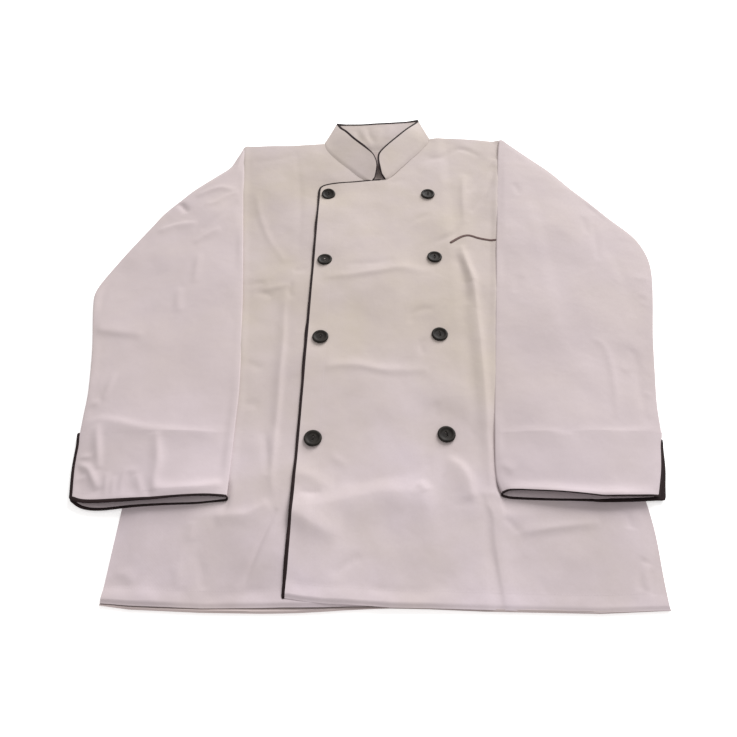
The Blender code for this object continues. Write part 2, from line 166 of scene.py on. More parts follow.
# %% Sleeve, cuff, collar and pocket lines
# Sleeve rows: y, inner fold x, outer fold x, loft of the upper layer over the under one
RIGHT_SLEEVE = [(719, -220.6, -223.4, 0.6), (705, -219.5, -226, 1.1), (690, -218, -230.5, 1.6),
                (665, -215.5, -239, 2.1), (645, -213.5, -256.5, 2.4), (612, -210.5, -287, 2.7),
                (591, -208.5, -302, 2.9), (559, -205, -324, 3.2), (527, -201, -339, 3.2),
                (484, -196, -359, 3.3), (445, -191.5, -375.5, 3.3), (420, -188.7, -385, 3.3),
                (403, -186.7, -388.5, 3.3), (386, -184.9, -386.5, 3.3), (356, -182, -379.5, 3.3),
                (308, -177, -367.5, 3.4), (248, -172.5, -356, 3.7), (214, -171.5, -352.5, 4.5),
                (190, -170.8, -350, 5.7), (150, -169.8, -346.5, 6.2), (112, -169.0, -339.5, 6.1)]
LEFT_SLEEVE = [(741, 204.6, 207.4, 0.6), (731, 202, 214, 0.8), (714, 198.5, 227, 1.1),
               (688, 194.5, 248, 1.6), (655, 190, 275, 2.2), (616, 184.5, 300, 2.6),
               (582, 180, 324, 3.0), (548, 176, 346, 3.2), (519, 172, 367, 3.2),
               (498, 169, 377, 3.2), (468, 165, 382, 3.3), (436, 161, 379, 3.3),
               (390, 155, 368, 3.3), (332, 147.5, 352, 3.4), (277, 140.5, 339, 3.4),
               (228, 134, 328, 4.0), (190, 129.5, 322.5, 5.2), (150, 125.3, 316, 6.3),
               (128, 125.3, 310.5, 6.4), (112, 130.3, 306, 6.4)]
CUFF_SEAM_Y = 190.0
# Cuff edges: share across from the inner fold, upper layer y, under layer y
RIGHT_CUFF_EDGE = [(0.0, 114, 110.5), (0.1, 114, 108.5), (0.2, 113, 107), (0.4, 110.5, 106),
                   (0.6, 108, 104), (0.8, 106.5, 100.5), (0.92, 107.5, 103), (1.0, 111.5, 111)]
LEFT_CUFF_EDGE = [(0.0, 118, 114.8), (0.02, 119.3, 113.6), (0.06, 119.4, 112.9),
                  (0.16, 118.2, 112), (0.35, 115.5, 111),
                  (0.53, 112, 110.7), (0.62, 110.8, 110), (0.8, 111.8, 110.5),
                  (1.0, 113.5, 112)]
# How far the slit stands open at the mouth: upper layer drawn in, under layer pushed out
RIGHT_SLIT = (0.5, 0.5)
LEFT_SLIT = (6.7, -1.0)
# Collar rows: neck seam x, y, top edge x, y
RIGHT_COLLAR = [(-88, 731, -69, 773), (-86.5, 719, -63.5, 761), (-79, 705, -55.5, 750),
                (-68, 691, -43, 732.5), (-54, 675, -28.5, 716), (-42, 662, -17.5, 703),
                (-32, 651.5, -9.5, 692), (-26, 645, -5.5, 680), (-21, 640, -3.4, 667),
                (-17, 637, -4.6, 653), (-12, 634, -6.8, 641)]
LEFT_COLLAR = [(84, 742, 69.5, 783.5), (80.5, 732, 63, 773.5), (73, 720, 50, 756),
               (61, 703, 34.5, 736), (47, 685, 18.5, 715.5), (35, 669, 7.5, 700),
               (27, 658, 2.2, 689), (20.5, 649, 1.2, 677), (15, 642, 2.8, 664),
               (11, 638.5, 5.5, 648)]
BACK_COLLAR = [(-87, 731, -70, 777.5), (-60, 720, -50, 777.5), (-30, 716, -28, 778),
               (0, 715, -2, 781), (35, 719, 26, 784), (65, 730, 50, 786.5),
               (84, 742, 68.5, 788.5)]
POCKET_MOUTH = [(103, 496.5), (113, 505), (123, 511), (132, 512.5), (145, 507), (158, 503.5),
                (171, 501), (205, 496)]
POCKET_BOTTOM_Y = 388.0
# name, x, y, turn in degrees, tilt towards the hem in degrees
BUTTONS = [("r1_right", -78, 603, 4, 9), ("r1_left", 76, 603, -6, 0),
           ("r2_right", -78, 464, 8, -4), ("r2_left", 78, 469, -3, -2),
           ("r3_right", -78, 328, -5, -3), ("r3_left", 76, 332, 7, 1),
           ("r4_right", -80, 183, -8, -2), ("r4_left", 74, 188, 10, 0)]
print("lines for three body panels, two sleeves and", len(BUTTONS), "buttons")

# %% [markdown]
# ## How high each layer lies
#
# Laid flat, the jacket is a stack: back, under front, over front, sleeves. Every sewn layer is
# 1.2 mm thick, with 0.3 mm of clear space. Two more things raise it: air that stays trapped
# in the body, and the sleeve's own folded edge. Both fade out under a sleeve, whose weight presses
# the body flat, and around the buttons, which are sewn down.

# %% Layer heights
CLOTH = 1.2
GAP = 0.3
LAYER = CLOTH + GAP
UNDERLAP_X = 96.0          # hidden edge of the under front
STEP_DOWN = 18.0           # over this much the over front comes down beyond that edge
SLEEVE_CLEARANCE = 0.4     # what a sleeve keeps above the table
SLEEVE_SLOPE = (4, 110)    # how far beyond the side seam it comes down to that
SLEEVE_WEIGHT_FROM = (90, 112)     # y where a sleeve begins to press, at its mouth
SLEEVE_WEIGHT_TO = (712, 745)      # y where it ends, at the shoulder
CUFF_MOUTH = (118, 145)    # y up to which a cuff lies on its stiff bound mouth
PRESSES = (1, 8)           # mm beyond the inner fold where the sleeve sets in
MOUTH_PRESSES = (-5, 1)    # the same at the mouth
SWELLS = (-9, 0)           # mm beyond the fold where the front swells up against it
LONG_FOLD_X = (60, 100)    # no swelling beside the long fold: x where it begins
LONG_FOLD_Y = (430, 500)   # y where it ends
AIR = 2.0                  # most that the trapped air lifts the front
AIR_AT_HEM = 0.25          # share of it left at the hem
AIR_AT_TOP = 0.3           # and at the shoulders
SIDE_TAPER = 40            # it fades out over this much beside the side seams
BANK = 0.9                 # most that the front swells up beside a sleeve
POCKET_BANK = 0.8          # and more where the pocket lies under it, in pocket heights
BUTTON_DIMPLE = 26.0       # radius over which a button holds the front down
BUTTON_HOLD = 0.9          # share of the air that it presses out
LATTICE = 64               # random heights each way, before they repeat


def side_x(side, y):
    """Side seam and armhole of the body; side is -1 for the wearer's right, 1 for the left."""
    rows = RIGHT_SHOULDER[:7] if side < 0 else LEFT_SHOULDER[4:][::-1]
    return lookup([(row[1], row[0]) for row in rows], y, 1)


def sleeve_line(side, y, column):
    """Inner fold (1), outer fold (2) or loft (3) of a sleeve at height y."""
    return lookup(curve(RIGHT_SLEEVE if side < 0 else LEFT_SLEEVE, 4), y, column)


def under_sleeve(x, y, low, high):
    """0 in the open, 1 under a sleeve, from `low` to `high` mm beyond the sleeve's inner fold."""
    out = np.zeros(np.broadcast(x, y).shape)
    for side in (-1, 1):
        beyond = side * (x - sleeve_line(side, y, 1))
        out = np.maximum(out, ramp(low, high, beyond) * ramp(*SLEEVE_WEIGHT_FROM, y)
                         * (1 - ramp(*SLEEVE_WEIGHT_TO, y)))
    return out


def pressed(x, y):
    """0 where the front lies free, 1 under a sleeve; at the cuff's mouth it starts at the fold."""
    mouth = 1 - ramp(*CUFF_MOUTH, y)
    low, high = (free + (bound - free) * mouth for free, bound in zip(PRESSES, MOUTH_PRESSES))
    return under_sleeve(x, y, low, high)


def pocket_rise(x, y):
    """The chest pocket is one layer more, which fades out well beyond its edges."""
    rise = LAYER * ramp(80, 95, x) * (1 - ramp(222, 245, x))
    return rise * ramp(290, 385, y) * (1 - ramp(520, 640, y))


def bank(x, y):
    """The front swells up against a sleeve's fold, which sinks into it."""
    beside_fold = ramp(*LONG_FOLD_X, x) * (1 - ramp(*LONG_FOLD_Y, y))
    height = BANK * (1 - beside_fold) + POCKET_BANK * pocket_rise(x, y)
    swollen = under_sleeve(x, y, *SWELLS) - under_sleeve(x, y, *PRESSES)
    return height * ramp(*CUFF_MOUTH, y) * swollen


def trapped_air(x, y):
    """Rise of the fronts over the layers beneath, in millimetres."""
    sides = ramp(0, SIDE_TAPER, x - side_x(-1, y)) * ramp(0, SIDE_TAPER, side_x(1, y) - x)
    at_hem = AIR_AT_HEM + (1 - AIR_AT_HEM) * ramp(2, 60, y)
    at_top = AIR_AT_TOP + (1 - AIR_AT_TOP) * (1 - ramp(560, 700, y))
    rise = AIR * sides * (at_hem * at_top)
    for _, button_x, button_y, _, _ in BUTTONS:
        away = (x - button_x) ** 2 + (y - button_y) ** 2
        rise = rise * (1 - BUTTON_HOLD * np.exp(-away / BUTTON_DIMPLE ** 2))
    return rise * (1 - pressed(x, y))


def shares(t):
    """Weights of four neighbours in a row, at the share t between the middle two."""
    return [(1 - t) ** 3 / 6, (3 * t ** 3 - 6 * t ** 2 + 4) / 6,
            (1 + 3 * t + 3 * t ** 2 - 3 * t ** 3) / 6, t ** 3 / 6]


def soft_noise(x, y, cell, seed):
    """Soft bumps that have no direction: random heights on a turned lattice, smoothly joined."""
    heights = np.random.default_rng(seed).normal(0, 1, (LATTICE, LATTICE))
    u = (x * math.cos(seed) + y * math.sin(seed)) / cell + LATTICE / 2
    v = (y * math.cos(seed) - x * math.sin(seed)) / cell + LATTICE / 2
    i, j = np.floor(u).astype(int), np.floor(v).astype(int)
    total = np.zeros(np.broadcast(u, v).shape)
    for p, share_u in enumerate(shares(u - i)):
        for q, share_v in enumerate(shares(v - j)):
            total += share_u * share_v * heights[(i + p) % LATTICE, (j + q) % LATTICE]
    return 2 * total


# lattice cell, height, seed
UNEVENNESS = [(72, 1.10, 1), (34, 0.50, 2), (16, 0.17, 3)]


def unevenness(x, y):
    """What no crease explains: cloth that was washed, hung and laid down never lies quite flat."""
    return sum(size * soft_noise(x, y, cell, seed) for cell, size, seed in UNEVENNESS)


def sleeve_low(side, x, y):
    """Underside of a sleeve: on the front, then down to the table beside the body."""
    beside = ramp(*SLEEVE_SLOPE, side * (x - side_x(side, y)))
    on_front = 2 * LAYER + (pocket_rise(x, y) if side > 0 else 0.0)
    return on_front + (SLEEVE_CLEARANCE - on_front) * beside


print("air at the middle of the front:", round(float(trapped_air(0.0, 300.0)), 2), "mm")

# %% [markdown]
# ## Creases, one row each
#
# A crease in heavy twill is a soft ridge or trough: it fades at both ends, and one flank is often
# steeper than the other. Each row below gives its height (below zero for a trough), how wide its
# left and right flanks are as one walks along it, and the points that it runs through. They are
# placed one by one, because creases left by folding never repeat.

# %% The crease tool
CREASE_POINT = 1.7     # 2 is a round ridge, 1 a sharp one
CREASE_DEPTH = 1.3     # one dial for all the heights below
CREASE_REACH = 3.4     # in flank widths: beyond this nothing is left of it
EVEN_ENDS = 0.12       # share of its length, at each end, over which its flanks come to agree
BLUNT_ENDS = 0.015     # share over which the ends are cut blunt
END_SHAPE = 0.6        # 1 fades along a half sine, less holds its height for longer


def nearest(path, x, y):
    """For each point: distance to the path, is it on the left, share along; and the length."""
    start, step = path[:-1], np.diff(path, axis=0)
    length = np.hypot(step[:, 0], step[:, 1])
    px, py = x[:, None], y[:, None]
    t = ((px - start[:, 0]) * step[:, 0] + (py - start[:, 1]) * step[:, 1]) / length ** 2
    t = np.clip(t, 0, 1)
    away_x = px - start[:, 0] - t * step[:, 0]
    away_y = py - start[:, 1] - t * step[:, 1]
    distance = np.hypot(away_x, away_y)
    best = distance.argmin(axis=1)
    row = np.arange(len(best))
    on_left = (step[best, 0] * away_y[row, best] - step[best, 1] * away_x[row, best]) > 0
    share = (walked(length)[best] + t[row, best] * length[best]) / length.sum()
    return distance[row, best], on_left, share, length.sum()


def creases(table, x, y):
    """Sum of the table's ridges and troughs at the plan points x, y, in millimetres."""
    total = np.zeros(x.shape)
    for height, left, right, points in table:
        path = curve(points, 5)
        reach = CREASE_REACH * max(left, right)
        near = ((x > path[:, 0].min() - reach) & (x < path[:, 0].max() + reach)
                & (y > path[:, 1].min() - reach) & (y < path[:, 1].max() + reach))
        if not near.any():
            continue
        distance, on_left, share, length = nearest(path, x[near], y[near])
        middle = (left + right) / 2      # both flanks agree at the ends, so no step shows there
        sided = ramp(0, EVEN_ENDS, share) * (1 - ramp(1 - EVEN_ENDS, 1, share))
        width = middle + (np.where(on_left, left, right) - middle) * sided
        from_end = np.minimum(share, 1 - share) * length
        fade = np.sin(math.pi * np.clip(share, BLUNT_ENDS, 1 - BLUNT_ENDS)) ** END_SHAPE
        fade = fade * ramp(0, 0.9 * max(left, right), from_end)
        profile = np.exp(-(distance / width) ** CREASE_POINT)
        total[near] += CREASE_DEPTH * height * fade * profile
    return total


# %% Creases of the under front
UNDER_CREASES = [
    # height, left flank, right flank, points
    (1.7, 4, 7, [(-129, 396), (-127, 355), (-125, 322), (-125, 273), (-124, 231), (-124, 200),
                 (-124, 168), (-123, 134), (-118, 111)]),
    (-0.9, 5, 6, [(-140, 200), (-133, 175), (-127, 138)]),
    (1.5, 6, 10, [(-182, 88), (-167, 92), (-147, 93), (-134, 100), (-120, 109)]),
    (-1.3, 3, 3, [(-114, 101), (-120, 85), (-126, 69), (-131, 54), (-137, 36), (-145, 19)]),
    (0.6, 5, 5, [(-202, 88), (-202, 76), (-201, 62)]),
    (-0.7, 5, 6, [(-195, 54), (-184, 34), (-180, 15)]),
    (0.8, 6, 5, [(-276, 33), (-263, 32), (-248, 26)]),
    (0.6, 6, 6, [(-212, 46), (-207, 30), (-203, 15)]),
    (-0.5, 7, 6, [(-205, 676), (-160, 687), (-129, 702)]),
    (-0.5, 6, 7, [(-136, 715), (-129, 661), (-121, 590), (-118, 520), (-120, 467)]),
    (0.9, 5, 4, [(-191, 608), (-180, 558), (-163, 511), (-144, 477), (-133, 459)]),
    (-0.9, 4, 4, [(-187, 420), (-171, 420), (-157, 422)]),
    (0.8, 5, 4, [(-161, 409), (-137, 414), (-121, 418)]),
    (-0.8, 4, 4, [(-123, 444), (-112, 446), (-101, 450)]),
    (-0.7, 4, 4, [(-123, 424), (-124, 405), (-117, 393)]),
    (-0.9, 4, 4, [(-172, 404), (-157, 402), (-144, 395)]),
    (-0.6, 5, 5, [(-169, 290), (-158, 284), (-148, 277)]),
    (-0.6, 5, 5, [(-167, 230), (-156, 229), (-145, 227)]),
]

# %% Creases of the over front
OVER_CREASES = [
    # the long fold from the pocket mouth down to the lap, and the troughs beside it
    (1.8, 5, 7, [(117, 496), (120, 476), (125, 447), (127, 418)]),
    (3.0, 5.5, 13, [(118, 486), (121, 457), (127, 431), (128, 409), (128, 388), (127, 354),
                    (127, 328), (126, 303), (125, 273), (124, 244), (123, 216), (121, 190),
                    (120, 165), (118, 145), (116, 122), (114, 106)]),
    (1.0, 4, 6, [(119, 478), (122, 454), (127, 427), (128, 400), (127, 372)]),
    (-0.9, 6, 6, [(109, 475), (115, 444), (117, 407), (116, 380)]),
    (1.5, 14, 4.5, [(111, 127), (113, 106), (117, 91), (116, 74), (116, 56), (117, 34), (119, 9),
                    (120, -14)]),
    # the ridge across the lap, left from folding the jacket in half, and what meets it
    (4.4, 17, 30, [(-108, 99), (-84, 101), (-57, 105), (-41, 109), (-20, 114), (2, 118),
                   (40, 116), (68, 118)]),
    (1.2, 9, 9, [(-105, 139), (-92, 140), (-78, 135), (-67, 128), (-51, 124)]),
    (0.9, 5, 5, [(37, 131), (44, 123), (47, 116)]),
    (-0.7, 4, 5, [(-93, 119), (-79, 117), (-66, 119)]),
    (2.8, 15, 13, [(-142, 116), (-120, 107), (-102, 98), (-87, 90), (-74, 82), (-59, 75),
                   (-40, 70)]),
    (-0.7, 5, 5, [(-54, 29), (-40, 40), (-23, 51)]),
    (2.2, 5.5, 15, [(66, 158), (78, 154), (88, 146), (93, 134), (95, 118), (97, 102)]),
    (-1.0, 5, 5, [(67, 233), (57, 199), (50, 170), (52, 143)]),
    (0.8, 6, 6, [(-63, 170), (-50, 157), (-34, 145)]),
    # across, from button to button
    (1.3, 8, 5, [(-74, 282), (-45, 285), (-24, 283), (1, 277), (25, 276), (62, 276)]),
    (-0.8, 4, 5, [(39, 348), (43, 366), (55, 374), (74, 373)]),
    (-0.7, 4, 4, [(60, 325), (51, 315), (54, 297)]),
    (1.1, 7, 5, [(-80, 431), (-42, 433), (-3, 441), (31, 448), (53, 443), (78, 443)]),
    (-0.6, 6, 5, [(-49, 452), (-7, 456), (22, 464)]),
    (-1.0, 5, 5, [(37, 458), (49, 474), (64, 489), (88, 502), (111, 518), (122, 539)]),
    (-0.7, 5, 5, [(37, 533), (58, 548), (80, 561)]),
    # shoulder, armhole and neck
    (-1.2, 5, 6, [(75, 690), (101, 693), (122, 711), (136, 717), (152, 709), (168, 693)]),
    (-1.4, 5, 5, [(137, 607), (157, 633), (177, 668), (191, 706)]),
    (-1.4, 5, 5, [(137, 562), (159, 591), (175, 628), (190, 673)]),
    (-2.4, 5, 9, [(203, 740), (199, 722), (195, 704), (191, 684)]),
    (1.5, 8, 6, [(135, 653), (129, 588), (127, 535)]),
    (-0.8, 4, 4, [(15, 643), (24, 654), (33, 665)]),
    (-0.7, 4, 4, [(15, 630), (28, 634), (42, 637)]),
    # beside and under the left cuff
    (1.2, 7, 5, [(142, 74), (169, 78), (201, 82), (230, 85)]),
    (-0.5, 4, 4, [(127, 91), (135, 83), (142, 73)]),
    (-0.7, 5, 5, [(260, 101), (260, 87), (260, 76)]),
    (-0.7, 5, 5, [(267, 50), (258, 36), (254, 15)]),
    (0.7, 5, 5, [(267, 44), (263, 30), (260, 15)]),
    (-0.6, 4, 4, [(270, 38), (268, 23), (263, 11)]),
]
print(len(UNDER_CREASES) + len(OVER_CREASES), "creases on the fronts")

# %% Creases of the sleeves
RIGHT_SLEEVE_CREASES = [
    (1.2, 4, 10, [(-328, 518), (-312, 526), (-293, 532), (-266, 534)]),
    (1.0, 5, 6, [(-269, 492), (-256, 506), (-244, 517), (-232, 525)]),
    (-0.8, 6, 6, [(-263, 517), (-238, 548), (-213, 588)]),
    (-2.2, 4, 4, [(-316, 585), (-313, 582), (-301, 575), (-291, 562), (-288, 555)]),
    (0.9, 5, 5, [(-267, 575), (-249, 579), (-233, 595), (-214, 607)]),
    (1.2, 6, 6, [(-282, 593), (-261, 607), (-242, 614), (-222, 607)]),
    (0.9, 7, 4, [(-258, 474), (-256, 447), (-256, 415)]),
    (0.8, 6, 5, [(-273, 410), (-271, 385), (-265, 363)]),
    (1.3, 14, 6, [(-390, 343), (-378, 341), (-351, 336), (-327, 332), (-300, 328)]),
    (0.9, 4, 4, [(-350, 226), (-342, 229), (-335, 230)]),
    (0.9, 4, 4, [(-334, 232), (-330, 254), (-328, 272)]),
    # along the cuff seam
    (1.3, 4.5, 10, [(-350, 206), (-343, 204), (-330, 206), (-306, 202), (-290, 197), (-272, 193),
                    (-251, 191), (-205, 189), (-180, 189)]),
]
LEFT_SLEEVE_CREASES = [
    (-0.8, 5, 5, [(306, 550), (304, 530), (302, 511)]),
    (-0.8, 5, 5, [(319, 535), (313, 497), (307, 458)]),
    (-0.7, 9, 9, [(327, 491), (335, 433), (336, 390), (330, 355)]),
    (0.5, 5, 5, [(349, 428), (361, 427), (373, 425)]),
    (0.5, 5, 5, [(348, 401), (357, 397), (366, 392)]),
    (0.4, 4, 4, [(346, 385), (353, 381), (360, 376)]),
    (1.0, 4, 4, [(268, 324), (281, 312), (284, 292), (283, 265), (280, 241), (273, 204)]),
    (-1.0, 5, 5, [(308, 313), (319, 295), (317, 274), (313, 251), (309, 220), (306, 199)]),
    (0.4, 5, 4, [(294, 279), (302, 276), (309, 272)]),
    (0.4, 4, 4, [(325, 273), (330, 273), (335, 272)]),
    (0.5, 4, 4, [(315, 240), (322, 240), (328, 239)]),
    (-0.7, 6, 6, [(212, 627), (214, 610), (215, 594)]),
    (-0.6, 6, 6, [(193, 432), (188, 415), (182, 397)]),
    # along the cuff seam, in two runs
    (0.7, 4, 14, [(122, 194), (133, 194), (147, 190), (170, 191), (191, 189), (204, 185),
                  (220, 184), (226, 184)]),
    (0.7, 4, 14, [(215, 187), (221, 187), (239, 190), (274, 189), (297, 191), (316, 194),
                  (328, 195)]),
]
# The cuffs crease sharper: they are stiff, and the mouth's edge is rolled and bound.
RIGHT_SLEEVE_CREASES += [
    (1.7, 4, 6, [(-331, 201), (-323, 174), (-314, 141)]),
    (1.8, 5, 7, [(-259, 190), (-250, 155), (-249, 131), (-243, 115)]),
    (0.9, 4, 3, [(-343, 158), (-335, 158), (-324, 158)]),
    (2.0, 5, 5, [(-346, 151), (-341, 150), (-333, 147), (-326, 143), (-319, 134), (-312, 124),
                 (-309, 117)]),
    (0.8, 4, 4, [(-341, 128), (-333, 132), (-325, 136)]),
    (1.2, 6, 5, [(-335, 108), (-300, 108.5), (-270, 110), (-250, 111)]),
    (2.3, 6, 9, [(-254, 116), (-240, 118.5), (-223, 119.5), (-207, 120.5), (-193, 122.5),
                 (-176, 126), (-158, 129)]),
    (0.9, 4, 4, [(-298, 110), (-301, 124), (-304, 140)]),
    (0.8, 4, 4, [(-290, 110), (-293, 124), (-294, 135)]),
    (0.7, 4, 4, [(-280, 108), (-284, 124), (-283, 138), (-276, 141), (-268, 137)]),
    (0.9, 4, 5, [(-270, 138), (-265, 126), (-258, 112)]),
]
LEFT_SLEEVE_CREASES += [
    (3.2, 7, 5, [(118, 120), (125, 121), (138, 120), (170, 118.5), (212, 114), (239, 112.5),
                 (287, 113.5), (305, 114)]),
    (0.7, 6, 6, [(128, 152), (138, 146), (147, 140)]),
]
print(len(RIGHT_SLEEVE_CREASES) + len(LEFT_SLEEVE_CREASES), "creases on the sleeves")

# %% [markdown]
# ## From rows of points to a cloth shell
#
# A cut piece is a grid: rows up the cloth, columns across it. The grid is the face that shows, and
# a Solidify modifier adds the cloth's thickness behind it. Smooth shading alone would bend the
# light at the cut edge, so an Edge Split modifier parts the narrow rim from the face, and a
# Weighted Normal modifier lets the large faces decide.

# %% The shell maker
SCENE = bpy.context.scene
CUT_EDGE_DEGREES = 55      # an edge that turns more than this is a cut edge
LARGE_FACES_COUNT = 80     # over 50 the large faces decide the shading


def add_object(name, mesh, look):
    """Puts a mesh into the scene with its finish."""
    obj = bpy.data.objects.new(name, mesh)
    mesh.materials.append(look)
    SCENE.collection.objects.link(obj)
    return obj


def grid_faces(rows, columns, loop):
    """Index quads of a grid; with loop, the last column joins the first."""
    i, j = np.meshgrid(np.arange(rows - 1), np.arange(columns if loop else columns - 1),
                       indexing="ij")
    k = (j + 1) % columns
    quads = np.stack([i * columns + j, i * columns + k, (i + 1) * columns + k,
                      (i + 1) * columns + j], axis=-1)
    return quads.reshape(-1, 4)


def grid_object(name, points, look, loop=False, flip=False, caps=False):
    """A smooth mesh over a (rows, columns, 3) array of plan points."""
    rows, columns = points.shape[:2]
    quads = grid_faces(rows, columns, loop)
    faces = quads[:, ::-1].tolist() if flip else quads.tolist()
    if caps:
        first = list(range(columns))
        last = list(range((rows - 1) * columns, rows * columns))
        faces += [first if flip else first[::-1], last[::-1] if flip else last]
    mesh = bpy.data.meshes.new(name)
    mesh.from_pydata(place(points.reshape(-1, 3)).tolist(), [], faces)
    mesh.update()
    mesh.shade_smooth()
    return add_object(name, mesh, look)


def cloth(obj, thickness=CLOTH):
    """Gives the grid its cloth thickness, away from the side that shows."""
    solid = obj.modifiers.new("cloth thickness", "SOLIDIFY")
    solid.thickness = thickness * MM
    solid.offset = -1
    solid.use_even_offset = False
    cut_edges = obj.modifiers.new("cut edges", "EDGE_SPLIT")
    cut_edges.split_angle = math.radians(CUT_EDGE_DEGREES)
    even_light = obj.modifiers.new("even light", "WEIGHTED_NORMAL")
    even_light.mode = "FACE_AREA"
    even_light.weight = LARGE_FACES_COUNT
    return obj


# %% [markdown]
# ## One way to add a material node
#
# Every finish below is built from the same three words: which node, which settings, what feeds it.
# Colours are written as a maker reads them off a chart, in sRGB hex, and turned to linear light.

# %% Node and colour helpers
def linear(hex_colour):
    """'#RRGGBB' in sRGB to linear RGBA."""
    out = []
    for k in (1, 3, 5):
        c = int(hex_colour[k:k + 2], 16) / 255
        out.append(c / 12.92 if c <= 0.04045 else ((c + 0.055) / 1.055) ** 2.4)
    return (*out, 1.0)


def add_node(tree, kind, links=(), **settings):
    """Adds a node. A setting named i0, i1 ... or by a socket's name in capitals sets an input."""
    node = tree.nodes.new(kind)
    for key, value in settings.items():
        if hasattr(node, key):
            setattr(node, key, value)
        else:
            spot = int(key[1:]) if key[0] == "i" and key[1:].isdigit() else key.replace("_", " ")
            node.inputs[spot].default_value = value
    for spot, source in dict(links).items():
        tree.links.new(source, node.inputs[spot])
    return node


def new_material(name, **finish):
    """A material whose shader has the settings of `finish`; also gives the place on the object."""
    made = bpy.data.materials.new(name)
    made.use_nodes = True
    tree = made.node_tree
    tree.nodes.clear()
    shader = add_node(tree, "ShaderNodeBsdfPrincipled", **finish)
    add_node(tree, "ShaderNodeOutputMaterial", {"Surface": shader.outputs[0]})
    where = add_node(tree, "ShaderNodeTexCoord").outputs["Object"]
    return made, tree, shader, where


print("ecru in linear light:", [round(v, 3) for v in linear("#D3C7C5")[:3]])

# %% [markdown]
# ## Cotton and polyester twill
#
# Kitchen whites are a dense 2/1 twill of about 220 g/m2: a fine diagonal rib, piece-dyed white. It
# has a soft, slightly silky gleam from the polyester, and takes a lilac or a creamy tint in
# patches from washing and pressing. The colour is also drawn creamier towards the shoulders and
# more lilac towards the hem. The rib is 0.5 mm wide on the real cloth, too fine to show at this
# distance, so it is drawn 1.5 mm wide and very shallow. Slow noises carry the tint, one fine noise
# the slubs of the yarn, and two more the small rumples that are too fine for the mesh.

# %% Twill
RIB = 1.5 * MM
TINT_PATCH = 120 * MM
CLOUD = 90 * MM
SLUB = 2.2 * MM
RUMPLE = 18 * MM
WIDE_RUMPLE = 50 * MM
CREAM_BY_HEIGHT = 0.55     # how much of the tint goes by the place up the body
PATCHES_FROM = (9.3, 3.8, 0.7)     # where in the noise the patches are cut from


def twill(name, lilac, cream, shade, rough):
    """Two tints in slow patches, a shade in clouds and slubs, two sizes of rumple and the rib."""
    made, tree, shader, where = new_material(name, IOR=1.45, Sheen_Weight=0.15,
                                             Sheen_Roughness=0.5)
    axes = add_node(tree, "ShaderNodeSeparateXYZ", {"Vector": where})
    by_height = add_node(tree, "ShaderNodeMapRange", {"Value": axes.outputs[1]}, i1=-0.30,
                         i2=-0.06, i3=0.0, i4=CREAM_BY_HEIGHT, interpolation_type="SMOOTHSTEP")
    moved = add_node(tree, "ShaderNodeVectorMath", {0: where}, operation="ADD", i1=PATCHES_FROM)
    patches = add_node(tree, "ShaderNodeTexNoise", {"Vector": moved.outputs[0]},
                       Scale=1 / TINT_PATCH, Detail=3.0, Roughness=0.55)
    patch_share = add_node(tree, "ShaderNodeMapRange", {"Value": patches.outputs[0]}, i1=0.36,
                           i2=0.64)
    cream_share = add_node(tree, "ShaderNodeMath",
                           {0: patch_share.outputs[0], 2: by_height.outputs[0]},
                           operation="MULTIPLY_ADD", i1=1 - CREAM_BY_HEIGHT)
    tint = add_node(tree, "ShaderNodeMix", {0: cream_share.outputs[0]}, data_type="RGBA",
                    i6=linear(lilac), i7=linear(cream))
    clouds = add_node(tree, "ShaderNodeTexNoise", {"Vector": moved.outputs[0]}, Scale=1 / CLOUD,
                      Detail=4.0, Roughness=0.6)
    cloud_share = add_node(tree, "ShaderNodeMapRange", {"Value": clouds.outputs[0]}, i1=0.40,
                           i2=0.78, i3=0.0, i4=0.55)
    clouded = add_node(tree, "ShaderNodeMix",
                       {0: cloud_share.outputs[0], 6: tint.outputs[2]}, data_type="RGBA",
                       i7=linear(shade))
    slubs = add_node(tree, "ShaderNodeTexNoise", {"Vector": where}, Scale=1 / SLUB, Detail=2.0)
    slub_share = add_node(tree, "ShaderNodeMapRange", {"Value": slubs.outputs[0]}, i1=0.3,
                          i2=0.7, i3=0.0, i4=0.12)
    yarn = add_node(tree, "ShaderNodeMix",
                    {0: slub_share.outputs[0], 6: clouded.outputs[2]}, data_type="RGBA",
                    i7=linear(shade))
    tree.links.new(yarn.outputs[2], shader.inputs["Base Color"])

    ribs = add_node(tree, "ShaderNodeTexWave", {"Vector": where}, Scale=0.31 / RIB,
                    wave_type="BANDS", bands_direction="DIAGONAL", Distortion=0.4, Detail=1.0)
    normal = None
    for size, height, strength in ((WIDE_RUMPLE, 3.0 * MM, 0.30), (RUMPLE, 1.6 * MM, 0.20)):
        rumples = add_node(tree, "ShaderNodeTexNoise", {"Vector": where}, Scale=1 / size,
                           Detail=2.5, Roughness=0.5, Distortion=0.3)
        links = {"Height": rumples.outputs[0]}
        if normal:
            links["Normal"] = normal
        normal = add_node(tree, "ShaderNodeBump", links, Strength=strength,
                          Distance=height).outputs[0]
    fine = add_node(tree, "ShaderNodeBump", {"Height": ribs.outputs[0], "Normal": normal},
                    Strength=0.05, Distance=0.25 * MM)
    tree.links.new(fine.outputs[0], shader.inputs["Normal"])
    wear = add_node(tree, "ShaderNodeMapRange", {"Value": slubs.outputs[0]}, i1=0.3, i2=0.7,
                    i3=rough - 0.05, i4=rough + 0.05)
    tree.links.new(wear.outputs[0], shader.inputs["Roughness"])
    return made


